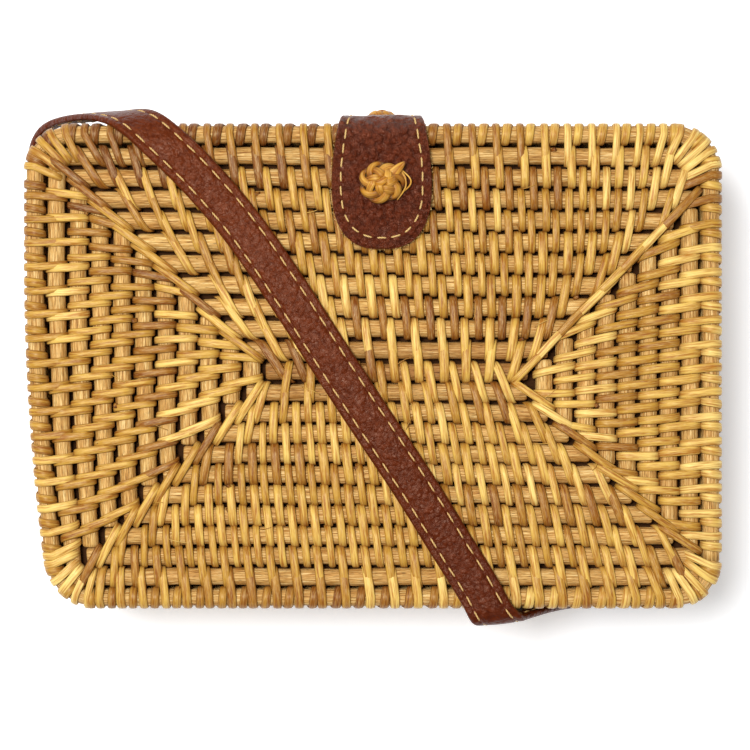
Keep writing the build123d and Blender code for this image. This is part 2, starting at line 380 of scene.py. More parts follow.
def flat_attribute(mesh, values):
    """Gives each point its place on the piece laid flat, which its material reads."""
    layer = mesh.attributes.new("flat", "FLOAT_VECTOR", "POINT")
    layer.data.foreach_set("vector", np.asarray(values, np.float32).ravel())


def round_section(count):
    """A circle of diameter 2 that starts underneath, as (sideways, up) points."""
    angles = -math.pi / 2 + FULL_TURN * np.arange(count) / count
    return np.stack([np.cos(angles), np.sin(angles)], axis=1)


def strip_section(count):
    """A split strand's section: nearly flat underneath and on top, with round edges."""
    circle = round_section(count)
    return np.sign(circle) * np.abs(circle) ** np.array([0.72, 0.86])


class Swept:
    """Collects tubes swept along paths, and turns them into one mesh."""

    KEY_STEP = 37.3  # how far apart the grain of two tubes lies, for keys 1 apart

    def __init__(self, name):
        self.name = name
        self.points, self.faces, self.size = [], [], 0
        self.attributes = {"grain": [], "tone": [], "end": []}

    def tube(self, path, out, width, thick, section, tone=0.0, key=0.0, caps=True):
        """Sweeps a section along a path. out points away from what the tube lies on."""
        path, out = np.asarray(path, float), np.asarray(out, float)
        count, around = len(path), len(section)
        tangent = unit(np.gradient(path, axis=0))
        side = unit(np.cross(tangent, out))
        up = np.cross(side, tangent)
        width = np.broadcast_to(width, count)[:, None, None] / 2
        thick = np.broadcast_to(thick, count)[:, None, None] / 2
        ring = side[:, None] * section[None, :, :1] * width + up[:, None] * section[None, :, 1:] * thick
        self.points.append((path[:, None] + ring).reshape(-1, 3))
        along = reached(path)
        grain = np.zeros((count, around, 3))
        grain[..., 0] = along[:, None]
        grain[..., 1] = np.linspace(0, math.pi * float((width.mean() + thick.mean())), around)[None]
        grain[..., 2] = key * self.KEY_STEP
        progress = along / max(along[-1], SMALLEST)
        # How near a point is to the tube's ends; the strand finish darkens there, partly painted shade where
        # ends dive between canes, partly browner cut ends
        end = np.clip(np.abs(progress - 0.5) * 2, 0, 1) ** 5
        self.attributes["grain"].append(grain.reshape(-1, 3))
        self.attributes["tone"].append(np.repeat(np.broadcast_to(tone, count), around))
        self.attributes["end"].append(np.repeat(end, around))
        self.faces += (ring_faces(count, around)[:, [0, 3, 2, 1]] + self.size).tolist()
        if caps:
            first = [point + self.size for point in ring_cap(0, around)]
            last = [point + self.size for point in ring_cap(count - 1, around)]
            self.faces += [first, last[::-1]]
        self.size += count * around

    def build(self, material, settle=None):
        """The mesh of all tubes, with settle, where given, moving its points."""
        points = np.concatenate(self.points)
        if settle is not None:
            points = settle(points)
        piece = new_piece(self.name, points, self.faces, material)
        for name, kind in (("grain", "FLOAT_VECTOR"), ("tone", "FLOAT"), ("end", "FLOAT")):
            values = np.concatenate(self.attributes[name]).astype(np.float32)
            layer = piece.data.attributes.new(name, kind, "POINT")
            layer.data.foreach_set("vector" if kind == "FLOAT_VECTOR" else "value", values.ravel())
        return piece


# ---------------------------------------------------------------- shoulder strap
STRAP_WIDTH = 12.5
STRAP_LEATHER = 2.0
STITCH_INSET = 2.3
STITCH_PITCH = 5.1
STITCH_LENGTH = 3.7
THREAD = 0.54
GROOVE = STRAP_WIDTH / 2 - STITCH_INSET  # from the strap's middle to each line of stitches
STITCH_SHARE = np.linspace(0, 1, 6)  # the points of one stitch, as shares of its length
STITCH_ARCH = np.sin(math.pi * STITCH_SHARE) ** 0.7  # how it rises out of its hole and dives again
RIPPLES = 7  # slow waves of the strap's edges and crown
RIPPLE_HEIGHT = 0.055
SPLINE_STEPS = 12
ON_FACE = (56, 66)  # below this y and above this level, the strap lies on the front face
LEVEL_CORNER = (20.0, 66.0)  # the strap bends with the lid over this height at its corner,
LEVEL_PARTING = (25.0, 41.0)  # and close to the parting level elsewhere
WELD = 0.002

# The centre line from the left knot over the top left corner, across the front, round the hinge side,
# under the back and up the right side: each point, and the direction across the strap there.
STRAP_ROUTE = [
    ((-101.4, 28.0, 17.0), (0.0, 0.0, -1.0)),
    ((-101.4, 38.0, 17.3), (0.0, 0.06, -1.0)),
    ((-101.5, 48.0, 18.8), (0.0, 0.26, -0.97)),
    ((-101.9, 56.4, 21.8), (0.0, 0.42, -0.9)),
    ((-101.8, 64.4, 27.0), (0.15, 0.55, -0.82)),
    ((-98.7, 69.6, 32.2), (0.43, 0.51, -0.74)),
    ((-93.6, 72.2, 38.2), (0.62, 0.22, -0.74)),
    ((-85.4, 72.6, 46.8), (0.72, 0.05, -0.69)),
    ((-76.4, 72.6, 57.2), (0.74, 0.14, -0.64)),
    ((-67.8, 70.8, 66.2), (0.78, 0.4, -0.42)),
    ((-59.6, 63.8, 69.2), (0.75, 0.65, -0.1)),
    ((-50.0, 54.6, 68.0), (0.72, 0.69, 0.0)),
    ((-37.4, 40.2, 67.8), (0.8, 0.6, 0.0)),
    ((-24.0, 20.6, 67.8), (0.84, 0.54, 0.0)),
    ((-5.6, -8.2, 67.8), (0.84, 0.54, 0.0)),
    ((11.8, -34.0, 67.8), (0.84, 0.54, 0.0)),
    ((22.6, -51.6, 67.8), (0.86, 0.5, 0.0)),
    ((29.6, -62.6, 67.8), (0.95, 0.3, 0.0)),
    ((35.2, -73.2, 68.4), (0.98, 0.16, 0.0)),
    ((39.4, -72.0, 58.4), (0.97, 0.04, 0.24)),
    ((49.6, -70.7, 42.6), (0.86, 0.0, 0.5)),
    ((62.0, -71.0, 24.8), (0.85, 0.0, 0.52)),
    ((72.4, -71.2, 8.6), (0.95, 0.0, 0.3)),
    ((78.2, -71.6, -1.2), (1.0, 0.0, 0.0)),
    ((84.0, -62.0, -1.2), (0.97, -0.25, 0.0)),
    ((89.9, -53.0, -1.2), (0.75, -0.66, 0.0)),
    ((95.4, -43.2, -1.2), (0.35, -0.94, 0.0)),
    ((101.6, -33.6, -1.2), (0.0, -1.0, 0.0)),
    ((101.5, -24.0, 4.6), (0.0, -0.9, 0.45)),
    ((101.4, -12.6, 10.8), (0.0, -0.45, 0.9)),
    ((101.5, 2.0, 15.6), (0.0, -0.25, 0.97)),
    ((101.4, 18.0, 17.7), (0.0, -0.05, 1.0)),
    ((101.4, 34.0, 17.8), (0.0, 0.0, 1.0)),
    ((101.5, 48.0, 17.0), (0.0, 0.05, 1.0)),
]


def spline_points(control):
    """Points along the smooth NURBS line that has these control points, in millimetres."""
    curve = bpy.data.curves.new("route", "CURVE")
    curve.dimensions = "3D"
    curve.resolution_u = SPLINE_STEPS
    spline = curve.splines.new("NURBS")
    spline.points.add(len(control) - 1)
    for point, place in zip(spline.points, control):
        point.co = (*vector(*place), 1.0)
    spline.order_u = 3
    spline.use_endpoint_u = True
    bare = bpy.data.objects.new("route", curve)
    mesh = bpy.data.meshes.new_from_object(bare)
    line = np.array([v.co for v in mesh.vertices]) / MM
    bpy.data.meshes.remove(mesh)
    bpy.data.objects.remove(bare)
    bpy.data.curves.remove(curve)
    return line


class Strap:
    """The strap's line, and the directions along, across and out of it at each of its points."""

    def __init__(self):
        route = np.array([point for point, _ in STRAP_ROUTE])
        across = unit(np.array([direction for _, direction in STRAP_ROUTE]))
        self.line = spline_points(route)
        self.across = unit(spline_points(route + across) - self.line)
        along = unit(np.gradient(self.line, axis=0))
        self.out = unit(np.cross(along, self.across))
        self.widening = 1 / np.linalg.norm(np.cross(along, self.across), axis=1)
        self.distance = reached(self.line)

    def at(self, distance, across_mm, out_mm):
        """Points of the strap's own grid: distance along, across from the middle, and outwards."""
        def read(values):
            columns = [np.interp(distance, self.distance, column) for column in values.T]
            return np.stack(columns, axis=-1)
        across_share = (np.interp(distance, self.distance, self.widening) * across_mm)[..., None]
        middle, across, out = read(self.line), unit(read(self.across)), unit(read(self.out))
        return middle + across * across_share + out * np.asarray(out_mm)[..., None]


def strap_profile():
    """The strap's cross-section, as (across, out) points: padded between the stitch lines, with a
    groove under each and a rounded, slightly thinner margin."""
    half, thick, groove = STRAP_WIDTH / 2, STRAP_LEATHER / 2, GROOVE
    top = [
        (half, 0.0), (half - 0.08, 0.42 * thick), (half - 0.35, 0.78 * thick), (half - 0.8, 0.9 * thick),
        (groove + 0.7, 0.92 * thick), (groove + 0.32, 0.8 * thick), (groove, 0.62 * thick),
        (groove - 0.32, 0.84 * thick), (groove - 0.8, thick), (groove - 1.8, 1.06 * thick),
        (0.8, 1.1 * thick),
    ]
    under = [
        (half - 0.08, -0.5 * thick), (half - 0.4, -0.86 * thick), (half - 0.9, -thick),
        (groove + 0.4, -thick), (groove, -0.86 * thick), (groove - 0.4, -thick), (1.2, -thick),
    ]
    return np.array(under[::-1] + top + [(-x, z) for x, z in top[::-1]] + [(-x, z) for x, z in under])


def strap_leather(strap, name, first, last, material):
    """One stretch of the strap's leather, from point first to point last of its line."""
    profile = strap_profile()
    across, raised = profile.T
    crown = np.clip(1 - (across / GROOVE) ** 2, 0, 1) * 0.35 * (raised > 0)
    # each ripple's rate and phase
    ripples = np.random.default_rng(5).uniform((0.05, 0, 0), (0.22, 6.3, 1), (RIPPLES, 3))[:, :2]
    rows, flat = [], []
    for d in strap.distance[first:last + 1]:
        ripple = sum(RIPPLE_HEIGHT * math.sin(rate * d + phase) for rate, phase in ripples)
        rippled = across * (1 + 0.006 * ripple) + 0.25 * ripple * np.abs(across) / STRAP_WIDTH
        rows.append(strap.at(np.full(len(profile), d), rippled, raised + crown * ripple))
        flat.append([(x, d, z) for x, z in profile])
    count, around = len(rows), len(profile)
    faces = ring_faces(count, around).tolist()
    if first == 0:
        faces.append(ring_cap(0, around)[::-1])
    if last == len(strap.line) - 1:
        faces.append(ring_cap(count - 1, around))
    piece = new_piece(name, np.concatenate(rows), faces, material)
    flat_attribute(piece.data, np.array(flat).reshape(-1, 3))
    return piece


def strap_stitches(strap, name, first_mm, last_mm, material):
    """The stitches on both faces of one stretch of the strap."""
    swept = Swept(name)
    rise = 0.48 * STITCH_ARCH - 0.3
    end_mm = min(last_mm, strap.distance[-1] - 3)
    for face, level, shift in ((1, 0.62, 0.0), (-1, 0.84, 0.5)):
        for line in (-1, 1):
            for i in range(int(strap.distance[-1] / STITCH_PITCH)):
                middle = (i + 0.5 + shift + 0.12 * line) * STITCH_PITCH
                if not first_mm <= middle < end_mm:
                    continue
                d = middle + (STITCH_SHARE - 0.5) * STITCH_LENGTH
                across = line * GROOVE + 0.12 * np.sin(i * 2.1 + line) * (STITCH_SHARE - 0.5)
                place = strap.at(d, across, face * (level * STRAP_LEATHER / 2 + rise))
                out = strap.at(d, across, np.full(len(d), 50.0 * face)) - place
                swept.tube(place, out, THREAD, THREAD, round_section(6), key=i)
    return swept.build(material)


def joined(pieces, name):
    """Joins stretches that already hold their own blends."""
    for piece in bpy.context.selected_objects:
        piece.select_set(False)
    for piece in pieces:
        piece.select_set(True)
    bpy.context.view_layer.objects.active = pieces[0]
    bpy.ops.object.join()
    whole = bpy.context.view_layer.objects.active
    whole.name = name
    whole.data.name = name
    return whole


def welded(piece):
    """Welds the coincident rings where two stretches meet."""
    mesh = bmesh.new()
    mesh.from_mesh(piece.data)
    bmesh.ops.remove_doubles(mesh, verts=mesh.verts, dist=WELD * MM)
    mesh.to_mesh(piece.data)
    mesh.free()
    return piece


def make_strap():
    """The strap in two stretches, which bend with the lid over different heights."""
    strap = Strap()
    tints = srgb(90, 34, 7), srgb(106, 43, 12), srgb(74, 23, 3)
    leather = leather_material("strap_leather", 1.5, 1.6, 0.3, 0.26, 0.2, *tints, darkened_stretch=(130.0, 250.0))
    thread = thread_material("golden_thread", srgb(172, 128, 66), srgb(246, 212, 142))
    seam = int(np.argmax((strap.line[:, 1] < ON_FACE[0]) & (strap.line[:, 2] > ON_FACE[1])))
    seam_mm, end_mm = strap.distance[seam], strap.distance[-1]
    leathers = [
        strap_leather(strap, "shoulder_strap_leather", 0, seam, leather),
        strap_leather(strap, "strap_rest", seam, len(strap.line) - 1, leather),
    ]
    threads = [
        strap_stitches(strap, "strap_stitching", 0, seam_mm, thread),
        strap_stitches(strap, "stitches_rest", seam_mm, end_mm, thread),
    ]
    for pieces in (leathers, threads):
        for piece, (low, high) in zip(pieces, (LEVEL_CORNER, LEVEL_PARTING)):
            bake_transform(piece, "back", "lid", start=vector(0, 0, low), end=vector(0, 0, high))
    piece = welded(joined(leathers, "shoulder_strap_leather"))
    stitching = joined(threads, "strap_stitching")
    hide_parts("shoulder_strap")


make_strap()

# ---------------------------------------------------------------- the weave's measures
CANE = 5.0  # diameter of the round cane
STRAND = 0.8  # thickness of the binding strands
STRAND_WIDTH = 2.45
STRAND_CLEAR = 0.02  # between a strand and the cane that it goes over
INSET = CANE / 2 + STRAND  # from the outer face to a cane's middle
SPINE_Y = -1.7  # the row that the rings go round
RINGS = 11
LEFT_PITCH = 6.2
RIGHT_PITCH = 5.98
RIGHT_COLUMNS = 9
STITCHES = 6.9  # between strands along a row
WALL_CANES = 4  # below the corner cane, down to the rim
CORNER = 10.5  # radius of the outermost rings' corners, at the cane's middle
RIM_GAP = 0.2  # from the parting level to the rim's strands
DRAWN_IN = 7.5  # how far the lower left corner is drawn in
DRAWN_RIGHT, DRAWN_TOP = -10, 30  # where the drawing in begins
COLUMN_GAP = CANE / 2 + 0.15  # from a row's middle to the cut end of a column
ROW_PAST_LEFT, SPINE_PAST_LEFT = 1.6, 2.2  # how far a row and the spine reach past their left column,
ROW_PAST_RIGHT, SPINE_PAST_RIGHT = 1.2, 1.4  # and past their right one
END_CLEAR = 3.6  # from a diagonal to the strands of the rows that end at it, and of a row from the edge
DIAGONAL_STEP = 3.0  # from a ring's corner to the ends of the diagonals' strands
BINDER = 52.0  # length of a row that one length of binder covers
BANKS, BANK_TONES = 8, 40  # tones that lengths of binder take in turn
CANE_TONES = 0.22  # the canes' tones are from 0 to this
JITTER = 0.25  # of a strand's place along its row

# how far a strand goes round a cane, in degrees from its top
TUCKED = 105  # down between two canes
DIAGONAL_TUCKED = 100
OVER_EDGE = 186  # over the face's edge and in under it
ROUND_RIM = 195  # right round the first and the last cane of a wall

# how finely a half is made: spacing of points along its rows and round its walls, points round a cane
# and round a strand, and points of a strand on a cane where it is tucked, goes round, or is a diagonal
Detail = namedtuple("Detail", "row_step wall_step cane strand tucked rounded diagonal")
FINE = Detail(2.6, 2.6, 12, 8, 5, 8, 6)
COARSE = Detail(6.0, 4.0, 8, 6, 4, 6, 4)

EDGE_X = HALF_X - INSET
EDGE_Y = HALF_Y - INSET
ROW_TOP = np.linspace(SPINE_Y, EDGE_Y, RINGS + 1)
ROW_BOTTOM = np.linspace(SPINE_Y, -EDGE_Y, RINGS + 1)
LEFT = -EDGE_X + LEFT_PITCH * (RINGS - np.arange(RINGS + 1))
RIGHT = EDGE_X - RIGHT_PITCH * (RIGHT_COLUMNS - np.arange(RIGHT_COLUMNS + 1))
DEPTH = FRONT - INSET  # level of the front face's canes
WALL = np.linspace(DEPTH, PARTING + RIM_GAP + INSET, WALL_CANES + 1)

# groups of strands that share a course of tones: the face's sides are 0 to 3, its diagonals 4 to 7
CORNER_TONES, WALL_TONES = 1, 2


def loop_sides(half_x, half_y, radius):
    """Lengths of a rounded rectangle's upright sides, level sides and corners."""
    return 2 * (half_y - radius), 2 * (half_x - radius), math.pi / 2 * radius


def loop_length(half_x, half_y, radius):
    tall, wide, arc = loop_sides(half_x, half_y, radius)
    return 2 * tall + 2 * wide + 4 * arc


def loop_point(s, half_x, half_y, radius):
    """Point and outward direction (x, y, nx, ny) at s along a rounded rectangle, which begins at the
    foot of its right side and goes anticlockwise."""
    tall, wide, arc = loop_sides(half_x, half_y, radius)
    for i, long in enumerate((tall, arc, wide, arc) * 2):
        if s <= long:
            break
        s -= long
    sign_x, sign_y = ((1, -1), (1, 1), (1, 1), (-1, 1), (-1, 1), (-1, -1), (-1, -1), (1, -1))[i]
    x, y = sign_x * (half_x - radius), sign_y * (half_y - radius)
    run, bend = (0.0, s / radius) if i % 2 else (s, 0.0)
    angle = math.pi / 2 * (i // 2) + bend
    nx, ny = math.cos(angle), math.sin(angle)
    return x + radius * nx - run * ny, y + radius * ny + run * nx, nx, ny


RING = (EDGE_X, EDGE_Y, CORNER)  # the outermost ring's middle line
RING_TALL, RING_WIDE, RING_ARC = loop_sides(*RING)
RING_LENGTH = loop_length(*RING)
RING_COUNT = round(RING_LENGTH / STITCHES)  # strands that go over the edge, a whole number
RING_PITCH = RING_LENGTH / RING_COUNT
RING_STARTS = (  # for each side: where it begins on the ring, its half length, and its direction
    (RING_TALL + RING_ARC, RING_WIDE / 2, 1),
    (2 * RING_TALL + RING_WIDE + 3 * RING_ARC, RING_WIDE / 2, -1),
    (RING_TALL + RING_WIDE + 2 * RING_ARC, RING_TALL / 2, 1),
    (0.0, RING_TALL / 2, -1),
)


def ring_side_start(side):
    """Where one of the strands that go over the edge lies along one side of the face."""
    begin, half_side, way = RING_STARTS[side]
    return way * (half_side - (math.ceil(begin / RING_PITCH) * RING_PITCH - begin))


def right_end(row, up):
    """Where a row ends on the right: over its column, or against the outermost column."""
    column = row if up else row - 1
    if row == 0:
        return RIGHT[0] + SPINE_PAST_RIGHT
    if column < RIGHT_COLUMNS:
        return RIGHT[column] + ROW_PAST_RIGHT
    return EDGE_X - END_CLEAR


class Half:
    """Makes one woven half, as canes and binding strands. The back half is the front one turned over."""

    def __init__(self, name, seed, detail, turned):
        self.rng = np.random.default_rng(seed)
        self.detail = detail
        self.turned = turned
        self.canes = Swept(name + "_canes")
        self.face = Swept(name + "_face_binding")
        self.walls = Swept(name + "_wall_binding")
        self.drift = self.rng.uniform(0, 1, (BANKS, BANK_TONES))

    def placed(self, path, out):
        """Turns a path over for the back half."""
        if self.turned:
            path = path * (1, 1, -1) + (0, 0, 2 * PARTING)
            out = out * (1, 1, -1)
            path, out = path[::-1], out[::-1]
        return path, out

    def cane(self, path, out, tone, squared=True):
        """One length of cane. A squared one has its ends cut square and just rounded."""
        path, out = self.placed(np.asarray(path, float), np.asarray(out, float))
        along = reached(path)
        key = self.rng.uniform(0, 50)
        diameter = CANE * (1 + 0.022 * np.sin(along * 0.19 + key) + 0.014 * np.sin(along * 0.53 + 2 * key))
        if squared:
            for i, scale in ((0, 0.78), (1, 0.95), (-1, 0.78), (-2, 0.95)):
                diameter[i] *= scale
        self.canes.tube(path, out, diameter, diameter, round_section(self.detail.cane), tone, key)

    def straight(self, start, end):
        """Points along a straight cane with a slight wander, close together at its cut ends."""
        start, end = np.array((*start, DEPTH)), np.array((*end, DEPTH))
        long = np.linalg.norm(end - start)
        inner = np.linspace(0.9, long - 0.9, max(3, int(long / self.detail.row_step)))
        along = np.concatenate([[0, 0.35], inner, [long - 0.35, long]]) / long
        path = start + (end - start) * along[:, None]
        side = np.array([-(end - start)[1], (end - start)[0], 0]) / long
        phase = self.rng.uniform(0, 6.3, 3)
        along *= long
        wander = 0.14 * np.sin(along * 0.09 + phase[0]) + 0.08 * np.sin(along * 0.3 + phase[1])
        path += side * wander[:, None]
        path[:, 2] += 0.12 * np.sin(along * 0.13 + phase[2])
        return path, np.broadcast_to((0.0, 0.0, 1.0), path.shape)

    def make_canes(self):
        """The rows above and below the spine, the columns at both sides, and the walls' rings."""
        for row in range(RINGS):
            for up in (True, False) if row else (True,):
                y = (ROW_TOP if up else ROW_BOTTOM)[row]
                left = LEFT[row] - (ROW_PAST_LEFT if row else SPINE_PAST_LEFT)
                path, out = self.straight((left, y), (right_end(row, up), y))
                near_spine = max(0.0, 0.5 - 0.22 * row)
                self.cane(path, out, near_spine + self.rng.uniform(0, CANE_TONES))
        columns = [(LEFT[k], ROW_BOTTOM[k], ROW_TOP[k]) for k in range(1, RINGS)]
        columns += [(RIGHT[k], ROW_BOTTOM[k + 1], ROW_TOP[k]) for k in range(1, RIGHT_COLUMNS)]
        for x, low, high in columns:
            path, out = self.straight((x, low + COLUMN_GAP), (x, high - COLUMN_GAP))
            self.cane(path, out, self.rng.uniform(0, CANE_TONES))
        places = np.linspace(0, RING_LENGTH, int(RING_LENGTH / self.detail.wall_step) + 1)
        points = np.array([loop_point(s % RING_LENGTH, *RING) for s in places])
        for level in WALL:
            path = np.column_stack([points[:, :2], np.full(len(points), level)])
            out = np.column_stack([points[:, 2:], np.zeros(len(points))])
            self.cane(path, out, self.rng.uniform(0, 0.2), squared=False)

    def tone(self, group, row, along):
        """A strand's colour: the same along one length of binder, then another."""
        place = along / BINDER + row * 0.618
        i = int(math.floor(place)) % (BANK_TONES - 1)
        blend = min(1.0, (place - math.floor(place)) * 6)
        bank = self.drift[(group * 3 + row) % BANKS]
        return bank[i] * blend + bank[i - 1] * (1 - blend)

    def strand(
        self, into, string, frame_at, group, row, along, lean, width, raised=0.0, lift=(0, 0), crest=None
    ):
        """One binding strand. string gives its (outwards, level, normal) points over the canes, and
        frame_at turns a place along the row, a distance outwards and a level into a point. It leans
        along the row about its middle, or about point crest and only up to there. lift raises its two
        ends."""
        v, h, nv, nh = string
        s = reached(np.column_stack([v, h]))
        share = s / s[-1]
        bow = 0.25 * self.rng.uniform(-1, 1) * np.sin(math.pi * share)
        if crest is None:
            sway = lean * (s - s[-1] / 2) + bow
        else:
            sway = lean * (np.minimum(s, s[crest]) - s[crest]) + bow
        height = h + (raised + lift[0] * (1 - share) + lift[1] * share) * np.maximum(nh, 0.0)
        placed = [frame_at(along + sway[k], v[k], height[k]) for k in range(len(v))]
        path = np.array([point for point, _ in placed])
        out = np.array([outward(nv[k], nh[k]) for k, (_, outward) in enumerate(placed)])
        path, out = self.placed(path, out)
        shade = np.clip(0.08 + self.tone(group, row, along) * 0.72 + self.rng.uniform(-0.08, 0.08), 0, 1)
        x, y = path[len(path) // 2][:2]
        # darker towards the upper left, and near the spine
        shade = min(1.0, shade + 0.42 * np.clip((y - 22) / 45, 0, 1) * np.clip((50 - x) / 110, 0, 1))
        shade = min(1.0, shade + 0.16 * math.exp(-(((y - SPINE_Y) / 13) ** 2)) * (abs(x) < 46))
        taper = width * (1 + 0.05 * self.rng.uniform(-1, 1))
        widths = taper * (1 - 0.1 * np.abs(2 * share - 1) ** 3)
        section = strip_section(self.detail.strand)
        into.tube(path, out, widths, STRAND, section, shade, self.rng.uniform(0, 50))


def over(one, other, wraps, points, dip=0.1):
    """The line of a strand pulled over two canes: (outwards, level) of the two canes' middles, how far
    it goes round each, how many points it has on each, and how far it dips between them. Gives the
    points and normals. Two canes that are one make a line round that one."""
    one, other = np.array(one, float), np.array(other, float)
    radius = CANE / 2 + STRAND / 2 + STRAND_CLEAR
    gap = other - one
    apart = np.linalg.norm(gap) > SMALLEST
    top = math.degrees(math.atan2(gap[0], -gap[1])) if apart else 90.0
    first = np.radians(np.linspace(top + wraps[0], top, points[0]))
    second = np.radians(np.linspace(top, top - wraps[1], points[1]))
    normal = np.concatenate([first, second])
    nv, nh = np.cos(normal), np.sin(normal)
    v = radius * nv + np.repeat([one[0], other[0]], points)
    h = radius * nh + np.repeat([one[1], other[1]], points)
    at = points[0]
    if apart:
        v = np.insert(v, at, (v[at - 1] + v[at]) / 2 - dip * nv[at])
        h = np.insert(h, at, (h[at - 1] + h[at]) / 2 - dip * nh[at])
        return v, h, np.insert(nv, at, nv[at]), np.insert(nh, at, nh[at])
    return tuple(np.delete(values, at) for values in (v, h, nv, nh))


def side_frame(outward, along, start=(0, 0)):
    """Places points of one side of the face: along the side, outwards from start, and up."""
    o, a, begin = np.array(outward, float), np.array(along, float), np.array(start, float)

    def frame_at(place, v, h):
        return np.array([*(begin + o * v + a * place), h]), lambda nv, nh: np.array([*(o * nv), nh])
    return frame_at


def ring_frame(place, v, h):
    """Places points round the outermost ring: v outwards from the cane's middle."""
    x, y, nx, ny = loop_point(place % RING_LENGTH, *RING)
    return np.array([x + nx * v, y + ny * v, h]), lambda nv, nh: np.array([nx * nv, ny * nv, nh])


def fan(place, low, high, leans, spreads, reach=9.0):
    """Lean of a strand: slight in mid-row, and turning to follow the diagonals near the row's ends."""
    base = leans[0] + (leans[1] - leans[0]) * (place - low) / (high - low)
    turned_low, turned_high = math.exp(-(place - low) / reach), math.exp(-(high - place) / reach)
    return base - spreads[0] * turned_low + spreads[1] * turned_high


def make_side(half, side, frame_at, canes, lows, highs, leans, spreads, offset):
    """All binding strands of one side of the face. canes are the canes' distances outwards, and lows
    and highs the ends of each pair's stretch."""
    for i in range(len(canes) - 1):
        outermost = i == len(canes) - 2
        wraps = TUCKED, OVER_EDGE if outermost else TUCKED
        points = half.detail.tucked, half.detail.rounded if outermost else half.detail.tucked
        string = over((canes[i], DEPTH), (canes[i + 1], DEPTH), wraps, points)
        low, high = lows[i], highs[i]
        width = STRAND_WIDTH * (0.88 + 0.24 * half.rng.random())
        step, crest = STITCHES, None
        place = low + ((offset + 0.45 * i) % 1.0) * STITCHES
        if outermost:
            step, crest = RING_PITCH, points[0] + 1
            place = low + (ring_side_start(side) - low) % step
        while place < high:
            lean = fan(place, low, high, leans, spreads)
            jittered = place + half.rng.uniform(-JITTER, JITTER)
            half.strand(half.face, string, frame_at, side, i, jittered, lean, width, crest=crest)
            place += step


def diagonal(half, group, start, end, i):
    """A long strand along a diagonal, from the gap inside one ring to the gap outside the next."""
    gap = np.array(end, float) - np.array(start, float)
    long = np.linalg.norm(gap)
    ahead = gap / long
    reach = CANE / 2 + 0.3
    wraps, points = (DIAGONAL_TUCKED,) * 2, (half.detail.diagonal,) * 2
    string = over((reach, DEPTH), (long - reach, DEPTH), wraps, points, dip=-0.25)
    frame_at = side_frame(ahead, (-ahead[1], ahead[0]), start)
    lean = half.rng.uniform(-0.03, 0.03)
    half.strand(half.face, string, frame_at, group, i, 0.0, lean, 2.35, raised=0.25, lift=(0.55, -0.25))


def middles(values):
    return (values[:-1] + values[1:]) / 2


def make_face(half):
    tall, wide = RING_TALL / 2, RING_WIDE / 2
    tops, bottoms, lefts = middles(ROW_TOP), middles(ROW_BOTTOM), middles(LEFT)
    row_highs = []
    for up in (True, False):
        ends = middles(np.array([right_end(row, up) for row in range(RINGS)]))
        row_highs.append([*(ends - END_CLEAR), wide - 0.5])
    row_lows = [LEFT[1] + END_CLEAR + 2.0, *(lefts[1:-1] + END_CLEAR + 1.5), -wide + 1.5]
    left_lows = [*(bottoms[1:-1] + END_CLEAR), -tall + 1.0]
    left_highs = [*(tops[1:-1] - END_CLEAR), tall - 0.5]
    right_lows = [*(bottoms[2:RIGHT_COLUMNS] + END_CLEAR), -tall + 1.0]
    right_highs = [*(tops[1:RIGHT_COLUMNS - 1] - END_CLEAR), tall - 0.5]
    # outwards, along, canes, each row's ends, leans at its ends, spreads towards them, first place
    sides = (
        ((0, 1), (1, 0), ROW_TOP, row_lows, row_highs[0], (-0.2, 0.02), (0.5, 0.35), 0.1),
        ((0, -1), (1, 0), -ROW_BOTTOM, row_lows, row_highs[1], (0.06, 0.2), (0.35, 0.3), 0.6),
        ((-1, 0), (0, 1), -LEFT[1:], left_lows, left_highs, (-0.12, -0.08), (0.3, 0.35), 0.3),
        ((1, 0), (0, 1), RIGHT[1:], right_lows, right_highs, (0.1, 0.12), (0.3, 0.3), 0.7),
    )
    for side, (outward, along, *rest) in enumerate(sides):
        make_side(half, side, side_frame(outward, along), *rest)
    step = DIAGONAL_STEP
    for k in range(1, RINGS - 1):
        (x, up, down), (x2, up2, down2) = ((LEFT[i], ROW_TOP[i], ROW_BOTTOM[i]) for i in (k, k + 1))
        diagonal(half, 4, (x + step, up - step), (x2 - step, up2 - 0.2), k)
        diagonal(half, 5, (x + step, down + step), (x2 + 1.4, down2 - step), k)
    for k in range(RIGHT_COLUMNS - 1):
        start, end = RIGHT[k] - step, RIGHT[k + 1] + step
        diagonal(half, 6, (start, ROW_TOP[k] - step), (end, ROW_TOP[k + 1] + step), k)
        diagonal(half, 7, (start, ROW_BOTTOM[k + 1] + step), (end, ROW_BOTTOM[k + 2] + 1.0), k)


def corner_frame(centre, ahead, spread):
    """Places points of a corner's strand, shifted sideways by spread at the corner's centre."""
    sideways = np.array([-ahead[1], ahead[0]])

    def frame_at(place, v, h):
        shift = place + spread * max(0.0, 1 - v / CORNER)
        point = np.array([*(centre + ahead * v + sideways * shift), h])
        return point, lambda nv, nh: np.array([*(ahead * nv), nh])
    return frame_at


def make_corners(half):
    """The strands that fan round the face's four rounded corners and over its edge."""
    wraps, points = (DIAGONAL_TUCKED, OVER_EDGE), (half.detail.tucked, half.detail.rounded)
    string = over((CORNER - 5.6, DEPTH), (CORNER, DEPTH), wraps, points)
    for sx, sy in ((1, 1), (-1, 1), (-1, -1), (1, -1)):
        centre = np.array([sx * (EDGE_X - CORNER), sy * (EDGE_Y - CORNER)])
        for i, degrees in enumerate((6, 27, 46, 64, 84)):
            angle = math.radians(degrees + half.rng.uniform(-4, 4))
            ahead = np.array([sx * math.cos(angle), sy * math.sin(angle)])
            frame_at = corner_frame(centre, ahead, (i - 2) * 1.6 * sx * sy)
            half.strand(half.face, string, frame_at, CORNER_TONES, RINGS, 0.0, 0.0, 2.3, raised=0.1)


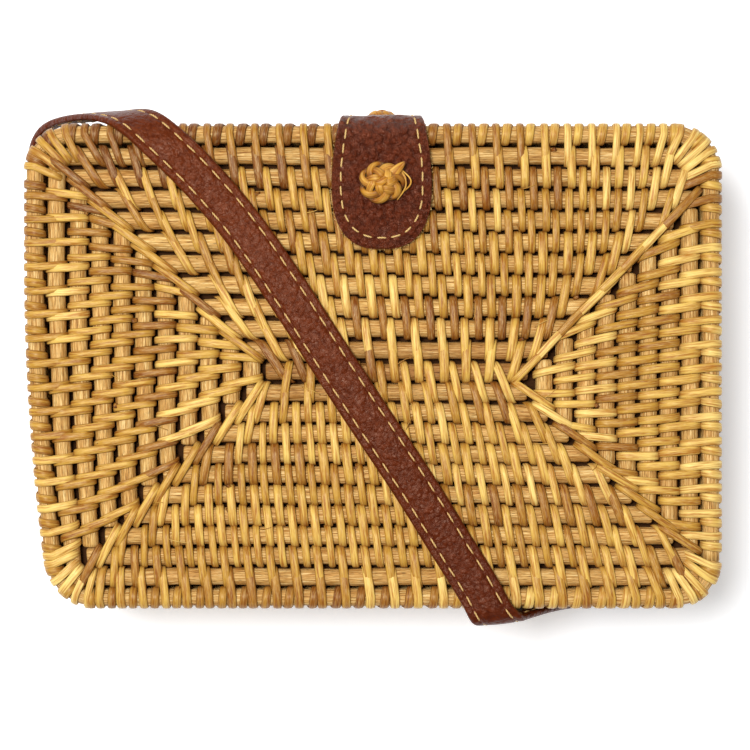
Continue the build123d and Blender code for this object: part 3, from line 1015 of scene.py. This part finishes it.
def make_walls(half):
    """The binding of the corner cane and of the canes below it, down to the rim."""
    for i in range(WALL_CANES):
        ends = i == 0, i == WALL_CANES - 1
        wraps = [ROUND_RIM if end else TUCKED for end in ends]
        points = [half.detail.rounded if end else half.detail.tucked for end in ends]
        string = over((0, WALL[i]), (0, WALL[i + 1]), wraps, points)
        width = 2.6 if i == 0 else 2.2 * (0.92 + 0.3 * half.rng.random())
        for k in range(RING_COUNT):
            place = (k + (0.45 * i + 0.5) % 1.0) * RING_PITCH + half.rng.uniform(-JITTER, JITTER)
            half.strand(half.walls, string, ring_frame, WALL_TONES, 12 + i, place, -0.12, width)
    string = over((0, WALL[-1]), (0, WALL[-1]), (TUCKED, ROUND_RIM), (COARSE.tucked, COARSE.rounded))
    for k in range(RING_COUNT):
        place = (k + (0.45 * WALL_CANES + 0.55) % 1.0) * RING_PITCH
        half.strand(half.walls, string, ring_frame, WALL_TONES, 17, place, -0.1, 2.4)


def make_frays(half):
    """Cut strand ends tucked beside the canes, and thin split fibres that stand out of the weave."""
    rng = np.random.default_rng(77)
    for i in range(46):
        x, y = rng.uniform(-88, 88), rng.uniform(-58, 60)
        row = SPINE_Y + round((y - SPINE_Y) / 6.0) * 6.0
        tilt = rng.uniform(0, FULL_TURN)
        ahead = np.array([math.cos(tilt), math.sin(tilt) * 0.6, 0.0])
        if i % 2:
            share = np.linspace(0, 1, 4)[:, None]
            path = np.array([x, row + 2.9, FRONT - 1.6]) + (ahead * 1.7 + np.array([0, 0, 0.9])) * share
            width, thick, section = 1.3 * rng.uniform(0.7, 1.1), 0.7, strip_section(6)
            tone = rng.uniform(0.75, 1.0)
        else:
            share = np.linspace(0, 1, 9)
            reach, curl = rng.uniform(3.5, 8.0) * share, rng.uniform(-2.2, 2.2) * share**2
            path = np.column_stack([
                x + ahead[0] * reach - ahead[1] * curl,
                y + ahead[1] * reach + ahead[0] * curl,
                FRONT - 0.5 + np.sin(math.pi * share) * rng.uniform(0.4, 1.0),
            ])
            width, thick, section = 0.22, 0.16, round_section(5)
            tone = rng.uniform(0.1, 0.7)
        out = np.broadcast_to((0.0, 0.0, 1.0), path.shape)
        half.face.tube(path, out, width, thick, section, tone, i)


def settle(points):
    """The real bag isn't quite square: its lower left corner is drawn in a little."""
    x, y = points[:, 0], points[:, 1]
    left = np.clip((DRAWN_RIGHT - x) / (HALF_X + DRAWN_RIGHT), 0, 1) ** 1.5
    down = np.clip((DRAWN_TOP - y) / (DRAWN_TOP + HALF_Y), 0, 1) ** 2
    moved = points.copy()
    moved[:, 0] += DRAWN_IN * left * down
    return moved


def make_half(name, node, body, seed, detail, turned):
    half = Half(name, seed, detail, turned)
    half.make_canes()
    make_face(half)
    make_corners(half)
    make_walls(half)
    if detail is FINE:
        make_frays(half)
    for swept, finish in ((half.canes, cane_finish), (half.face, strand_finish), (half.walls, strand_finish)):
        piece = swept.build(finish, settle)
        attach(piece, body)
        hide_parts(node)


cane_finish = cane_material()
strand_finish = strand_material(
    "split_rattan", (246, 216, 130), (224, 184, 90), (194, 147, 56), (160, 106, 34), (126, 72, 20)
)
knot_finish = strand_material("knotted_rattan", (222, 170, 70), (192, 132, 34), (146, 86, 16), (86, 42, 6))
make_half("front", "front_basket", "lid", 11, FINE, turned=False)
make_half("back", "back_basket", "back", 23, COARSE, turned=True)

# ---------------------------------------------------------------- cloth linings
LINING_CLOTH = 0.8
LINING_CORNER = 9.0
HEM = 7.0
HEM_STITCH = 3.0
HEM_PITCH = 5.0
HEM_INSET = 1.62  # from the cloth's outer face to the stitches' holes
AROUND = 240  # points of each ring of the shell


def rounded_loop(half_x, half_y, radius, count):
    """Points round a rounded rectangle, the distance round it at each, and its length."""
    radius = max(min(radius, half_y - 0.01), 0.01)
    total = loop_length(half_x, half_y, radius)
    places = np.arange(count) * total / count
    return np.array([loop_point(s, half_x, half_y, radius)[:2] for s in places]), places, total


def lining_shell(deep):
    """(inset from the outer face, height above the floor's outer face) of each ring of the shell, from
    the middle of the floor's outside, over the rim, to the middle of its inside."""
    t = LINING_CLOTH
    outer = [(d, 0.0) for d in (58, 46, 34, 22, 14, 8, 4.5)] + [(2.6, 0.2), (1.2, 0.8), (0.3, 2.0)]
    outer += [(0.0, h) for h in np.linspace(4.0, deep - 0.6, 9)] + [(0.25, deep - 0.12)]
    inner = [(0.75, deep), (1.25, deep - 0.15), (1.5, deep - 0.7)]
    inner += [(1.5, deep - HEM + 1.0), (1.42, deep - HEM + 0.2), (t, deep - HEM)]
    inner += [(t, h) for h in np.linspace(deep - HEM - 1.5, 4.4, 7)]
    inner += [(t + 0.3, 2.7), (t + 1.2, 1.5), (t + 2.5, 0.95)]
    return outer + inner + [(d, t) for d in (5.4, 8, 14, 22, 34, 46, 58)]


def make_lining(node, body, opens, seed, cloth, thread):
    """A tray of cloth that lines one half: its floor under the face, its walls up to the hemmed rim.
    opens is 1 where the tray opens upwards, and -1 where it opens downwards."""
    low, high = corners(node)
    half_x, half_y = high[:2]
    floor_z, rim_z = (low[2], high[2]) if opens > 0 else (high[2], low[2])
    deep = abs(rim_z - floor_z)
    phases = np.random.default_rng(seed).uniform(0, 6.3, 8)
    rings, flat = [], []
    for inset, height in lining_shell(deep):
        loop, s, total = rounded_loop(half_x - inset, half_y - inset, LINING_CORNER - 0.1 * inset, AROUND)
        if height > 2.5:  # the walls, which are pulled in a little in waves
            share = math.sin(math.pi * min(1.0, height / deep)) + 0.2
            waves = 0
            for k, phase in enumerate(phases):
                waves += math.sin(0.6 * k + phase) * np.sin(FULL_TURN * (5 + 4 * k) * s / total + phase)
            pull = np.maximum(0.10 * share * waves + 0.12 * share, 0)
            loop = loop - loop / np.maximum(np.linalg.norm(loop, axis=1, keepdims=True), 1) * pull[:, None]
            flat += [(place, height, 0.0) for place in s]
            level = np.full(AROUND, height)
        else:
            flat += [(x, y, 0.0) for x, y in loop]
            sag = 0.18 * np.sin(loop[:, 0] * 0.09 + phases[0]) * np.sin(loop[:, 1] * 0.11 + phases[1])
            level = height + np.maximum(sag, 0) * (inset > 5)
        rings.append(np.column_stack([loop, floor_z + opens * level]))
    faces = ring_faces(len(rings), AROUND).tolist()
    faces += [ring_cap(0, AROUND)[::-1], ring_cap(len(rings) - 1, AROUND)]
    if opens > 0:
        faces = [face[::-1] for face in faces]
    piece = new_piece(node + "_cloth", settle(np.concatenate(rings)), faces, cloth)
    flat_attribute(piece.data, flat)
    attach(piece, body)
    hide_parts(node)

    stitching = hem_stitches(node, half_x, half_y, floor_z + opens * (deep - HEM + 2.0)).build(thread, settle)
    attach(stitching, body)


def hem_stitches(node, half_x, half_y, level):
    hem = Swept(node + "_hem_stitching")
    line, s, total = rounded_loop(half_x - HEM_INSET, half_y - HEM_INSET, LINING_CORNER - 0.2, 200)
    closed, reach = np.vstack([line, line[:1]]), np.append(s, total)
    stitches = int(total / HEM_PITCH)
    share = np.linspace(0, 1, 4)
    rise = 0.35 * np.sin(math.pi * share) - 0.1
    for i in range(stitches):
        d = ((i + 0.5) * total / stitches + (share - 0.5) * HEM_STITCH) % total
        place = np.column_stack([np.interp(d, reach, closed[:, 0]), np.interp(d, reach, closed[:, 1])])
        inwards = -place / np.linalg.norm(place, axis=1, keepdims=True)
        path = np.column_stack([place + inwards * rise[:, None], np.full(4, level)])
        hem.tube(path, np.column_stack([inwards, np.zeros(4)]), 0.4, 0.4, round_section(5), key=i)
    return hem


# ---------------------------------------------------------------- closing flap
flap_low, flap_high = corners("closure_flap")
FLAP_X = (flap_low[0] + flap_high[0]) / 2
FLAP_HALF = (flap_high[0] - flap_low[0]) / 2
FLAP_TOP_HALF = 11.25  # where it bends over the edge, and up to its root
FLAP_ROOT = flap_low[2]
FLAP_TIP = flap_low[1]
FLAP_LEATHER = 2.0
FLAP_BEND = 5.3  # radius at the middle of the leather
BUTTON_Y = 52.0
SLIT_WIDTH, SLIT_LENGTH, SLIT_POINTS = 5.0, 10.0, 28
FLAP_INSET = 2.6  # from the outline to the stitches
FLAP_PITCH = 4.0
FLAP_STITCH = 3.1
TIP_SQUARE = 2.55  # 2 is an ellipse, and more is squarer
ROOT_BENDS = (22, 32)  # the flap bends between these levels as it lifts
CREASES, FLAP_WAVES, FIBRES = 24, 10, 150

WALL_Y = flap_high[1] - FLAP_LEATHER / 2  # of the leather's middle, as is LEVEL_Z
LEVEL_Z = flap_high[2] - FLAP_LEATHER / 2
BEND_Y, BEND_Z = WALL_Y - FLAP_BEND, LEVEL_Z - FLAP_BEND  # the bend's centre
BEND_START = BEND_Z - FLAP_ROOT
BEND_END = BEND_START + math.pi / 2 * FLAP_BEND
WIDEST = BEND_END + BEND_Y - BUTTON_Y
FLAP_LONG = BEND_END + BEND_Y - FLAP_TIP
TIP_LONG = FLAP_LONG - WIDEST


def flap_flat(points):
    """The flat place (across, along) on the flap of points on it."""
    x, y, z = points.T
    turn = np.arctan2(z - BEND_Z, y - BEND_Y)
    along = BEND_START + FLAP_BEND * np.clip(turn, 0, math.pi / 2)
    along = np.where(z < BEND_Z, z - FLAP_ROOT, along)
    along = np.where(y < BEND_Y, BEND_END + BEND_Y - y, along)
    return np.column_stack([x - FLAP_X, along, np.zeros(len(x))])


def flap_at(x, s, height):
    """Points of the flap: across from its middle, along from its root, and outwards."""
    x, s, height = np.broadcast_arrays(np.asarray(x, float), s, height)
    turn = np.clip((s - BEND_START) / FLAP_BEND, 0, math.pi / 2)
    y = np.where(s < BEND_START, WALL_Y, BEND_Y + FLAP_BEND * np.cos(turn)) - np.maximum(s - BEND_END, 0)
    z = np.where(s < BEND_START, FLAP_ROOT + s, BEND_Z + FLAP_BEND * np.sin(turn))
    return np.stack([FLAP_X + x, y + height * np.cos(turn), z + height * np.sin(turn)], axis=-1)


def flap_half(s):
    share = np.clip((s - BEND_START) / (WIDEST - BEND_START), 0, 1)
    return FLAP_TOP_HALF + (FLAP_HALF - FLAP_TOP_HALF) * np.sin(math.pi / 2 * share)


def flap_edge(x, s):
    """How far a point of the flap is from its outline."""
    beyond = max(s - WIDEST, 0)
    rho = np.sqrt((x / FLAP_HALF) ** 2 + (beyond / TIP_LONG) ** 2)
    slope = np.sqrt((x / FLAP_HALF**2) ** 2 + (beyond / TIP_LONG**2) ** 2)
    inside = (1 - rho) * rho / np.maximum(slope, 1e-6) if s > WIDEST else flap_half(s) - np.abs(x)
    return np.minimum(np.maximum(inside, 0), s + 0.3)


def make_flap(thread):
    """The flap's leather, its stitches, and the pale fibres along its raw edge."""
    rng = np.random.default_rng(31)
    piece = flap_leather(rng)
    cut_slit(piece)
    places = np.array([v.co for v in piece.data.vertices]) / MM
    flat_attribute(piece.data, flap_flat(places))
    piece.data.polygons.foreach_set("use_smooth", [True] * len(piece.data.polygons))
    root = {"start": vector(0, 0, ROOT_BENDS[0]), "end": vector(0, 0, ROOT_BENDS[1])}
    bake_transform(piece, "back", "flap", **root)
    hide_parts("closure_flap")

    stitching = Swept("flap_stitching")
    s_side = np.linspace(5.0, WIDEST, 120)
    turn = np.linspace(0, math.pi, 90)[1:-1]
    x_turn = np.sign(np.cos(turn)) * np.abs(np.cos(turn)) ** (2 / TIP_SQUARE)
    s_turn = np.sin(turn) ** (2 / TIP_SQUARE)

    def outline(inset, tip_inset):
        """The line round the flap at inset from its outline, as places across and along."""
        x_side = flap_half(s_side) - inset
        x = np.concatenate([-x_side, -(FLAP_HALF - inset) * x_turn, x_side[::-1]])
        return x, np.concatenate([s_side, WIDEST + (TIP_LONG - tip_inset) * s_turn, s_side[::-1]])

    flap_stitches(stitching, *outline(FLAP_INSET, FLAP_INSET + 0.6))
    flap_fibres(stitching, *outline(0, 0), rng)
    threads = stitching.build(thread)
    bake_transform(threads, "back", "flap", **root)


def flap_leather(rng):
    """Rings across the flap, from its root to its tip, over its top and back underneath. Its relief is
    creases that radiate from the button knot, and slow waves."""
    tints = srgb(92, 34, 12), srgb(106, 43, 18), srgb(66, 19, 5)
    leather = leather_material("flap_leather", 1.9, 1.0, 1.5, 0.6, 0.8, *tints)
    rows = np.concatenate([
        np.linspace(0, BEND_START, 42),
        np.linspace(BEND_START, BEND_END, 14)[1:],
        np.linspace(BEND_END, WIDEST, 30)[1:],
        WIDEST + TIP_LONG * np.sin(np.radians(np.linspace(0, 88.5, 44)[1:])),
    ])
    across = np.sin(np.linspace(-math.pi / 2, math.pi / 2, 61))
    creases = rng.uniform((-math.pi, 0.05, 9), (math.pi, 0.11, 14), (CREASES, 3))
    waves = [(rng.normal(0, 0.5, 2), rng.uniform(0, 6.3)) for _ in range(FLAP_WAVES)]
    rings = []
    for s in rows:
        beyond = max(s - WIDEST, 0) / TIP_LONG
        x = across * float(flap_half(s)) * max(1 - beyond**TIP_SQUARE, 0) ** (1 / TIP_SQUARE)
        edge = flap_edge(x, s)
        rounding = 1 - np.clip(edge / 0.35, 0, 1)
        groove = np.exp(-(((edge - FLAP_INSET) / 0.45) ** 2))
        puff = np.clip((edge - FLAP_INSET) / 2.5, 0, 1)
        radius, angle = np.hypot(x, s - WIDEST), np.arctan2(s - WIDEST, x)
        relief = np.zeros(len(x))
        for direction, width, reach in creases:
            away = np.abs((angle + 0.05 * np.sin(radius) - direction + math.pi) % FULL_TURN - math.pi)
            window = np.clip((radius - 4.5) / 1.5, 0, 1) * np.clip((reach - radius) / 4, 0, 1)
            relief -= 0.12 * np.exp(-((away / width) ** 2)) * window
        for (kx, ks), phase in waves:
            relief += 0.035 * np.sin(kx * x + ks * s + phase)
        top = 1.0 - 0.5 * rounding**2 - 0.16 * groove + 0.06 * puff + relief * puff
        under = -1.0 + 0.5 * rounding**2
        rings.append(np.vstack([flap_at(x, s, top), flap_at(x[::-1], s, under[::-1])]))
    around = 2 * len(across)
    faces = ring_faces(len(rings), around).tolist()
    faces += [ring_cap(0, around)[::-1], ring_cap(len(rings) - 1, around)]
    return new_piece("closing_flap_leather", np.concatenate(rings), faces, leather, smooth=False)


def flap_stitches(stitching, x_line, s_line):
    reach = reached(np.column_stack([x_line, s_line]))
    count = int(reach[-1] / FLAP_PITCH)
    rise = 0.72 + 0.42 * STITCH_ARCH
    for i in range(count):
        d = (i + 0.5) * reach[-1] / count + (STITCH_SHARE - 0.5) * FLAP_STITCH
        x, s = np.interp(d, reach, x_line), np.interp(d, reach, s_line)
        x = x + 0.14 * (STITCH_SHARE - 0.5) * (1 if i % 3 else -1)
        place = flap_at(x, s, rise - 0.2)
        out = flap_at(x, s, rise + 9) - place
        stitching.tube(place, out, THREAD, THREAD, round_section(6), key=i)


def flap_fibres(stitching, x_raw, s_raw, rng):
    share = np.linspace(0, 1, 4)
    for i in range(FIBRES):
        j = int(rng.integers(60, len(x_raw) - 60))
        ahead = np.array([x_raw[j + 1] - x_raw[j - 1], s_raw[j + 1] - s_raw[j - 1]])
        ahead = ahead / np.linalg.norm(ahead)
        reach_out = rng.uniform(0.3, 0.8) * share - 0.15
        slide = rng.uniform(-0.7, 0.7) * share**2
        x = x_raw[j] - ahead[1] * reach_out + ahead[0] * slide
        s = s_raw[j] + ahead[0] * reach_out + ahead[1] * slide
        height = rng.uniform(-0.8, 0.4) + rng.uniform(-0.2, 0.3) * share
        place = flap_at(x, s, height)
        stitching.tube(place, flap_at(x, s, height + 5) - place, 0.13, 0.1, round_section(4), key=i)


def cut_slit(piece):
    """Cuts the slit that goes over the button knot."""
    outline = []
    for i in range(SLIT_POINTS):
        angle = FULL_TURN * i / SLIT_POINTS
        x, y = SLIT_WIDTH / 2 * math.cos(angle), SLIT_WIDTH / 2 * math.sin(angle)
        shift = (SLIT_LENGTH - SLIT_WIDTH) / 2 * (1 if math.sin(angle) >= 0 else -1)
        outline.append((FLAP_X + x, BUTTON_Y + shift + y))
    points = [(x, y, z) for z in (LEVEL_Z - 4, LEVEL_Z + 4) for x, y in outline]
    faces = ring_faces(2, SLIT_POINTS).tolist()
    faces += [ring_cap(0, SLIT_POINTS)[::-1], ring_cap(1, SLIT_POINTS)]
    cutter = new_piece("slit", points, faces, smooth=False)
    cut = piece.modifiers.new("slit", "BOOLEAN")
    cut.object = cutter
    cut.operation = "DIFFERENCE"
    cut.solver = "EXACT"
    graph = bpy.context.evaluated_depsgraph_get()
    result = bpy.data.meshes.new_from_object(piece.evaluated_get(graph))
    piece.modifiers.clear()
    piece.data = result
    bpy.data.objects.remove(cutter)


# ---------------------------------------------------------------- knots of split rattan
KNOT_HEIGHT = 6.4  # of the head
KNOT_TAIL = 1.4  # thickness of the coil inside
TURNS, BIGHTS = 3, 7  # of the interlaced head, which lies round a circle and waves in and out of it
HEAD_CIRCLE, HEAD_WAVE = 3.75, 1.9
HEAD_DOME, HEAD_DROP, HEAD_EDGE = 4.5, 2.9, 5.6  # its height, how much lower its edge is, and where
# of each loose fibre: how far it reaches out, where it begins and ends, and how far off its middle is
LOOSE_FIBRES = ((3.4, 4.4, -3.6, 0.3), (2.5, 5.0, -5.0, -0.2), (1.6, 3.8, -2.2, 0.6))


class Knot:
    """A knot: an interlaced head, its neck through the basket, and a small coil inside. tones are those
    of its head and of the rest. Its strands are laid at (first, second, axis) places from its deepest
    point."""

    def __init__(self, node, axis, seed, tones):
        low, high = corners(node)
        self.axis = np.array(axis, float)
        first = np.array([1.0, 0, 0]) if abs(axis[0]) < 0.5 else np.array([0, 1.0, 0])
        self.frame = np.array([first, np.cross(self.axis, first), self.axis])
        tall = abs(self.axis @ (high - low))
        self.deepest = (low + high) / 2 - self.axis * tall / 2
        self.foot = tall - KNOT_HEIGHT  # of the head
        self.seed = seed
        self.rng = np.random.default_rng(seed)
        self.head_tone, self.tone = tones
        self.swept = Swept(node + "_rattan")

    def lay(self, local, width, thick, section, tone, out=None, caps=True):
        """One strand. Its out is away from the head's middle where it isn't given."""
        local = np.asarray(local, float)
        if out is None:
            out = local - np.array([0, 0, self.foot + 0.6])
        path = self.deepest + local @ self.frame
        out = np.broadcast_to(out, local.shape) @ self.frame
        self.swept.tube(path, out, width, thick, section, tone, self.rng.uniform(0, 50), caps)

    def head(self):
        """The interlaced head, and a short bight that crosses its middle."""
        t = np.linspace(0, FULL_TURN * TURNS, 330)
        phase = BIGHTS * t / TURNS
        uneven = 1 + 0.09 * np.sin(2 * t / TURNS + self.seed) + 0.06 * np.sin(5 * t / TURNS + 2 * self.seed)
        r = HEAD_CIRCLE * uneven + HEAD_WAVE * np.cos(phase)
        dome = HEAD_DOME - HEAD_DROP * np.clip(r / HEAD_EDGE, 0, 1.1) ** 2.4
        z = self.foot + dome - 0.1 + 0.7 * np.sin(2 * phase)
        path = np.column_stack([r * np.cos(t) * 1.06, r * np.sin(t) * 0.93, z])
        width = STRAND_WIDTH * (1 + 0.14 * np.sin(3 * t / TURNS + self.seed))
        # Paler where the strand rises over a crossing, darker where it dives under one: painted highlight and
        # painted shade
        tone = np.clip(self.head_tone + 0.12 * np.sin(1.7 * t) - 0.42 * np.sin(2 * phase), 0, 1)
        self.lay(path, width, 1.5, strip_section(10), tone)
        a = np.linspace(0, math.pi, 22)
        rise = self.foot + 3.6 + 1.75 * np.sin(a) ** 0.8
        bight = np.column_stack([1.7 * np.cos(a) + 0.3, 0.6 * np.sin(2 * a), rise])
        self.lay(bight, 2.1, 1.3, strip_section(10), self.head_tone * 0.7)

    def core(self):
        """What is packed under the head: a thick ring and a plug."""
        a = np.linspace(0, FULL_TURN, 26)
        ring = np.column_stack([2.9 * np.cos(a), 2.9 * np.sin(a), np.full(26, self.foot + 1.6)])
        self.lay(ring, 4.4, 3.0, round_section(10), self.tone, out=(0, 0, 1), caps=False)
        plug = [(0, 0, self.foot + h) for h in (0.1, 1.2, 2.4, 3.4)]
        thick = [5.2, 5.4, 5.0, 2.6]
        self.lay(plug, thick, thick, round_section(12), self.tone, out=(1, 0, 0))

    def neck(self):
        """The neck of two twisted strands, and the coil inside."""
        up = np.linspace(KNOT_TAIL - 0.4, self.foot + 1.2, 16)[:, None] * (0, 0, 1)
        for start in (0, math.pi):
            turn = np.linspace(0, 2.5 * math.pi, 16) + start
            around = np.column_stack([np.cos(turn), np.sin(turn), 0 * turn])
            self.lay(0.85 * around + up, 1.9, 1.5, strip_section(8), self.tone, out=around)
        a = np.linspace(0, 4.2 * math.pi, 60)
        r = 0.4 + 0.21 * a
        coil = np.column_stack([r * np.cos(a), r * np.sin(a), KNOT_TAIL / 2 + 0.1 * np.sin(a * 0.7)])
        self.lay(coil, 1.35, 1.2, round_section(8), self.tone, out=(0, 0, 1))

    def loose_ends(self):
        """A pointed end that sticks out, and loose fibres."""
        share = np.linspace(0, 1, 14)
        rise = self.foot + 3.6 - 1.2 * share**2 + 0.8 * share
        point = np.column_stack([2.4 + 4.1 * share, 1.7 + 3.9 * share, rise])
        self.lay(point, 3.1 - 2.5 * share**2.6, 1.1 - 0.5 * share, strip_section(10), 0.15)
        a = np.linspace(0, math.pi, 22)
        for reach, begin, end, lean in LOOSE_FIBRES:
            x = 4.6 + lean + reach * np.sin(a) ** 1.2
            y = begin + (end - begin) * (a / math.pi) ** 0.9
            loop = np.column_stack([x, y, self.foot + 1.6 + 0.9 * np.sin(a * 1.4)])
            self.lay(loop, 0.5, 0.3, round_section(5), 0.0, out=(0, 0, 1))


def make_knot(node, body, axis, seed, tones, height=1.0, loose_ends=False):
    """height is the share that the head keeps of its height, where it is pulled tight on the strap."""
    knot = Knot(node, axis, seed, tones)
    knot.head()
    knot.core()
    knot.neck()
    if loose_ends:
        knot.loose_ends()

    def pressed(points):
        up = (points - knot.deepest - knot.axis * knot.foot) @ knot.axis
        return points - np.outer(np.maximum(up, 0) * (1 - height), knot.axis)

    piece = knot.swept.build(knot_finish, pressed)
    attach(piece, body)
    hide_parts(node)


# ---------------------------------------------------------------- hinge lashings
LASHING_TURNS = 4
LASHING_STRAND = 1.1
LASHING_CORNER = 0.8
LASHING_STEP = 0.9  # between points along the long runs, so that they can bend
LASHING_START = 12  # the point where a turn begins and ends, out of sight between the rims
LASHING_CLEAR = 2  # from a lashing's ends to the levels between which it bends


def make_lashing(node, seed):
    """Turns of split rattan through both rims on the hinge side."""
    low, high = corners(node)
    rng = np.random.default_rng(seed)
    swept = Swept(node + "_rattan")
    middle = LASHING_STRAND / 2 + LASHING_CORNER  # from the lashing's faces to its corners' centres
    near, far = low[1:] + middle, high[1:] - middle
    width = (high[0] - low[0]) / LASHING_TURNS
    for i in range(LASHING_TURNS):
        x = low[0] + (i + 0.5) * width
        path, out = [], []
        turns = ((near[0], near[1], 180), (far[0], near[1], 270), (far[0], far[1], 0), (near[0], far[1], 90))
        for y, z, turn in turns:
            for angle in np.radians(np.linspace(turn, turn + 90, 6)):
                ny, nz = math.cos(angle), math.sin(angle)
                path.append((x, y + LASHING_CORNER * ny, z + LASHING_CORNER * nz))
                out.append((0, ny, nz))
        path, out = np.array(path), np.array(out)
        dense, normals = [], []
        for j in range(len(path)):
            k = (j + 1) % len(path)
            parts = max(1, int(np.linalg.norm(path[k] - path[j]) / LASHING_STEP))
            for share in np.arange(parts) / parts:
                dense.append(path[j] * (1 - share) + path[k] * share)
                normals.append(out[j] * (1 - share) + out[k] * share)
        dense, normals = (np.roll(values, -LASHING_START, axis=0) for values in (dense, normals))
        dense[:, 0] += 0.1 * np.sin(np.arange(len(dense)) * 0.2 + i) + rng.uniform(-0.05, 0.05)
        tone, key = rng.uniform(0.15, 0.6), rng.uniform(0, 50)
        swept.tube(dense, normals, width * 0.97, LASHING_STRAND, strip_section(8), tone, key)
    piece = swept.build(strand_finish)
    start, end = vector(0, 0, low[2] + LASHING_CLEAR), vector(0, 0, high[2] - LASHING_CLEAR)
    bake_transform(piece, "back", "lid", start=start, end=end)
    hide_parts(node)


thread = thread_material("cream_thread", srgb(184, 142, 74), srgb(246, 214, 146))
cloth = cloth_material()
make_lining("front_lining", "lid", -1, 3, cloth, thread)
make_lining("back_lining", "back", 1, 4, cloth, thread)
make_flap(thread)
make_knot("button_knot", "lid", (0, 0, 1), 2, (0.48, 1.0), loose_ends=True)
make_knot("flap_knot", "back", (0, 1, 0), 5, (0.6, 0.95))
make_knot("strap_knot_left", "back", (-1, 0, 0), 6, (0.45, 1.0), height=0.58)
make_knot("strap_knot_right", "back", (1, 0, 0), 8, (0.45, 1.0), height=0.58)
for name, seed in (("left", 41), ("middle", 42), ("right", 43)):
    make_lashing("hinge_lashing_" + name, seed)
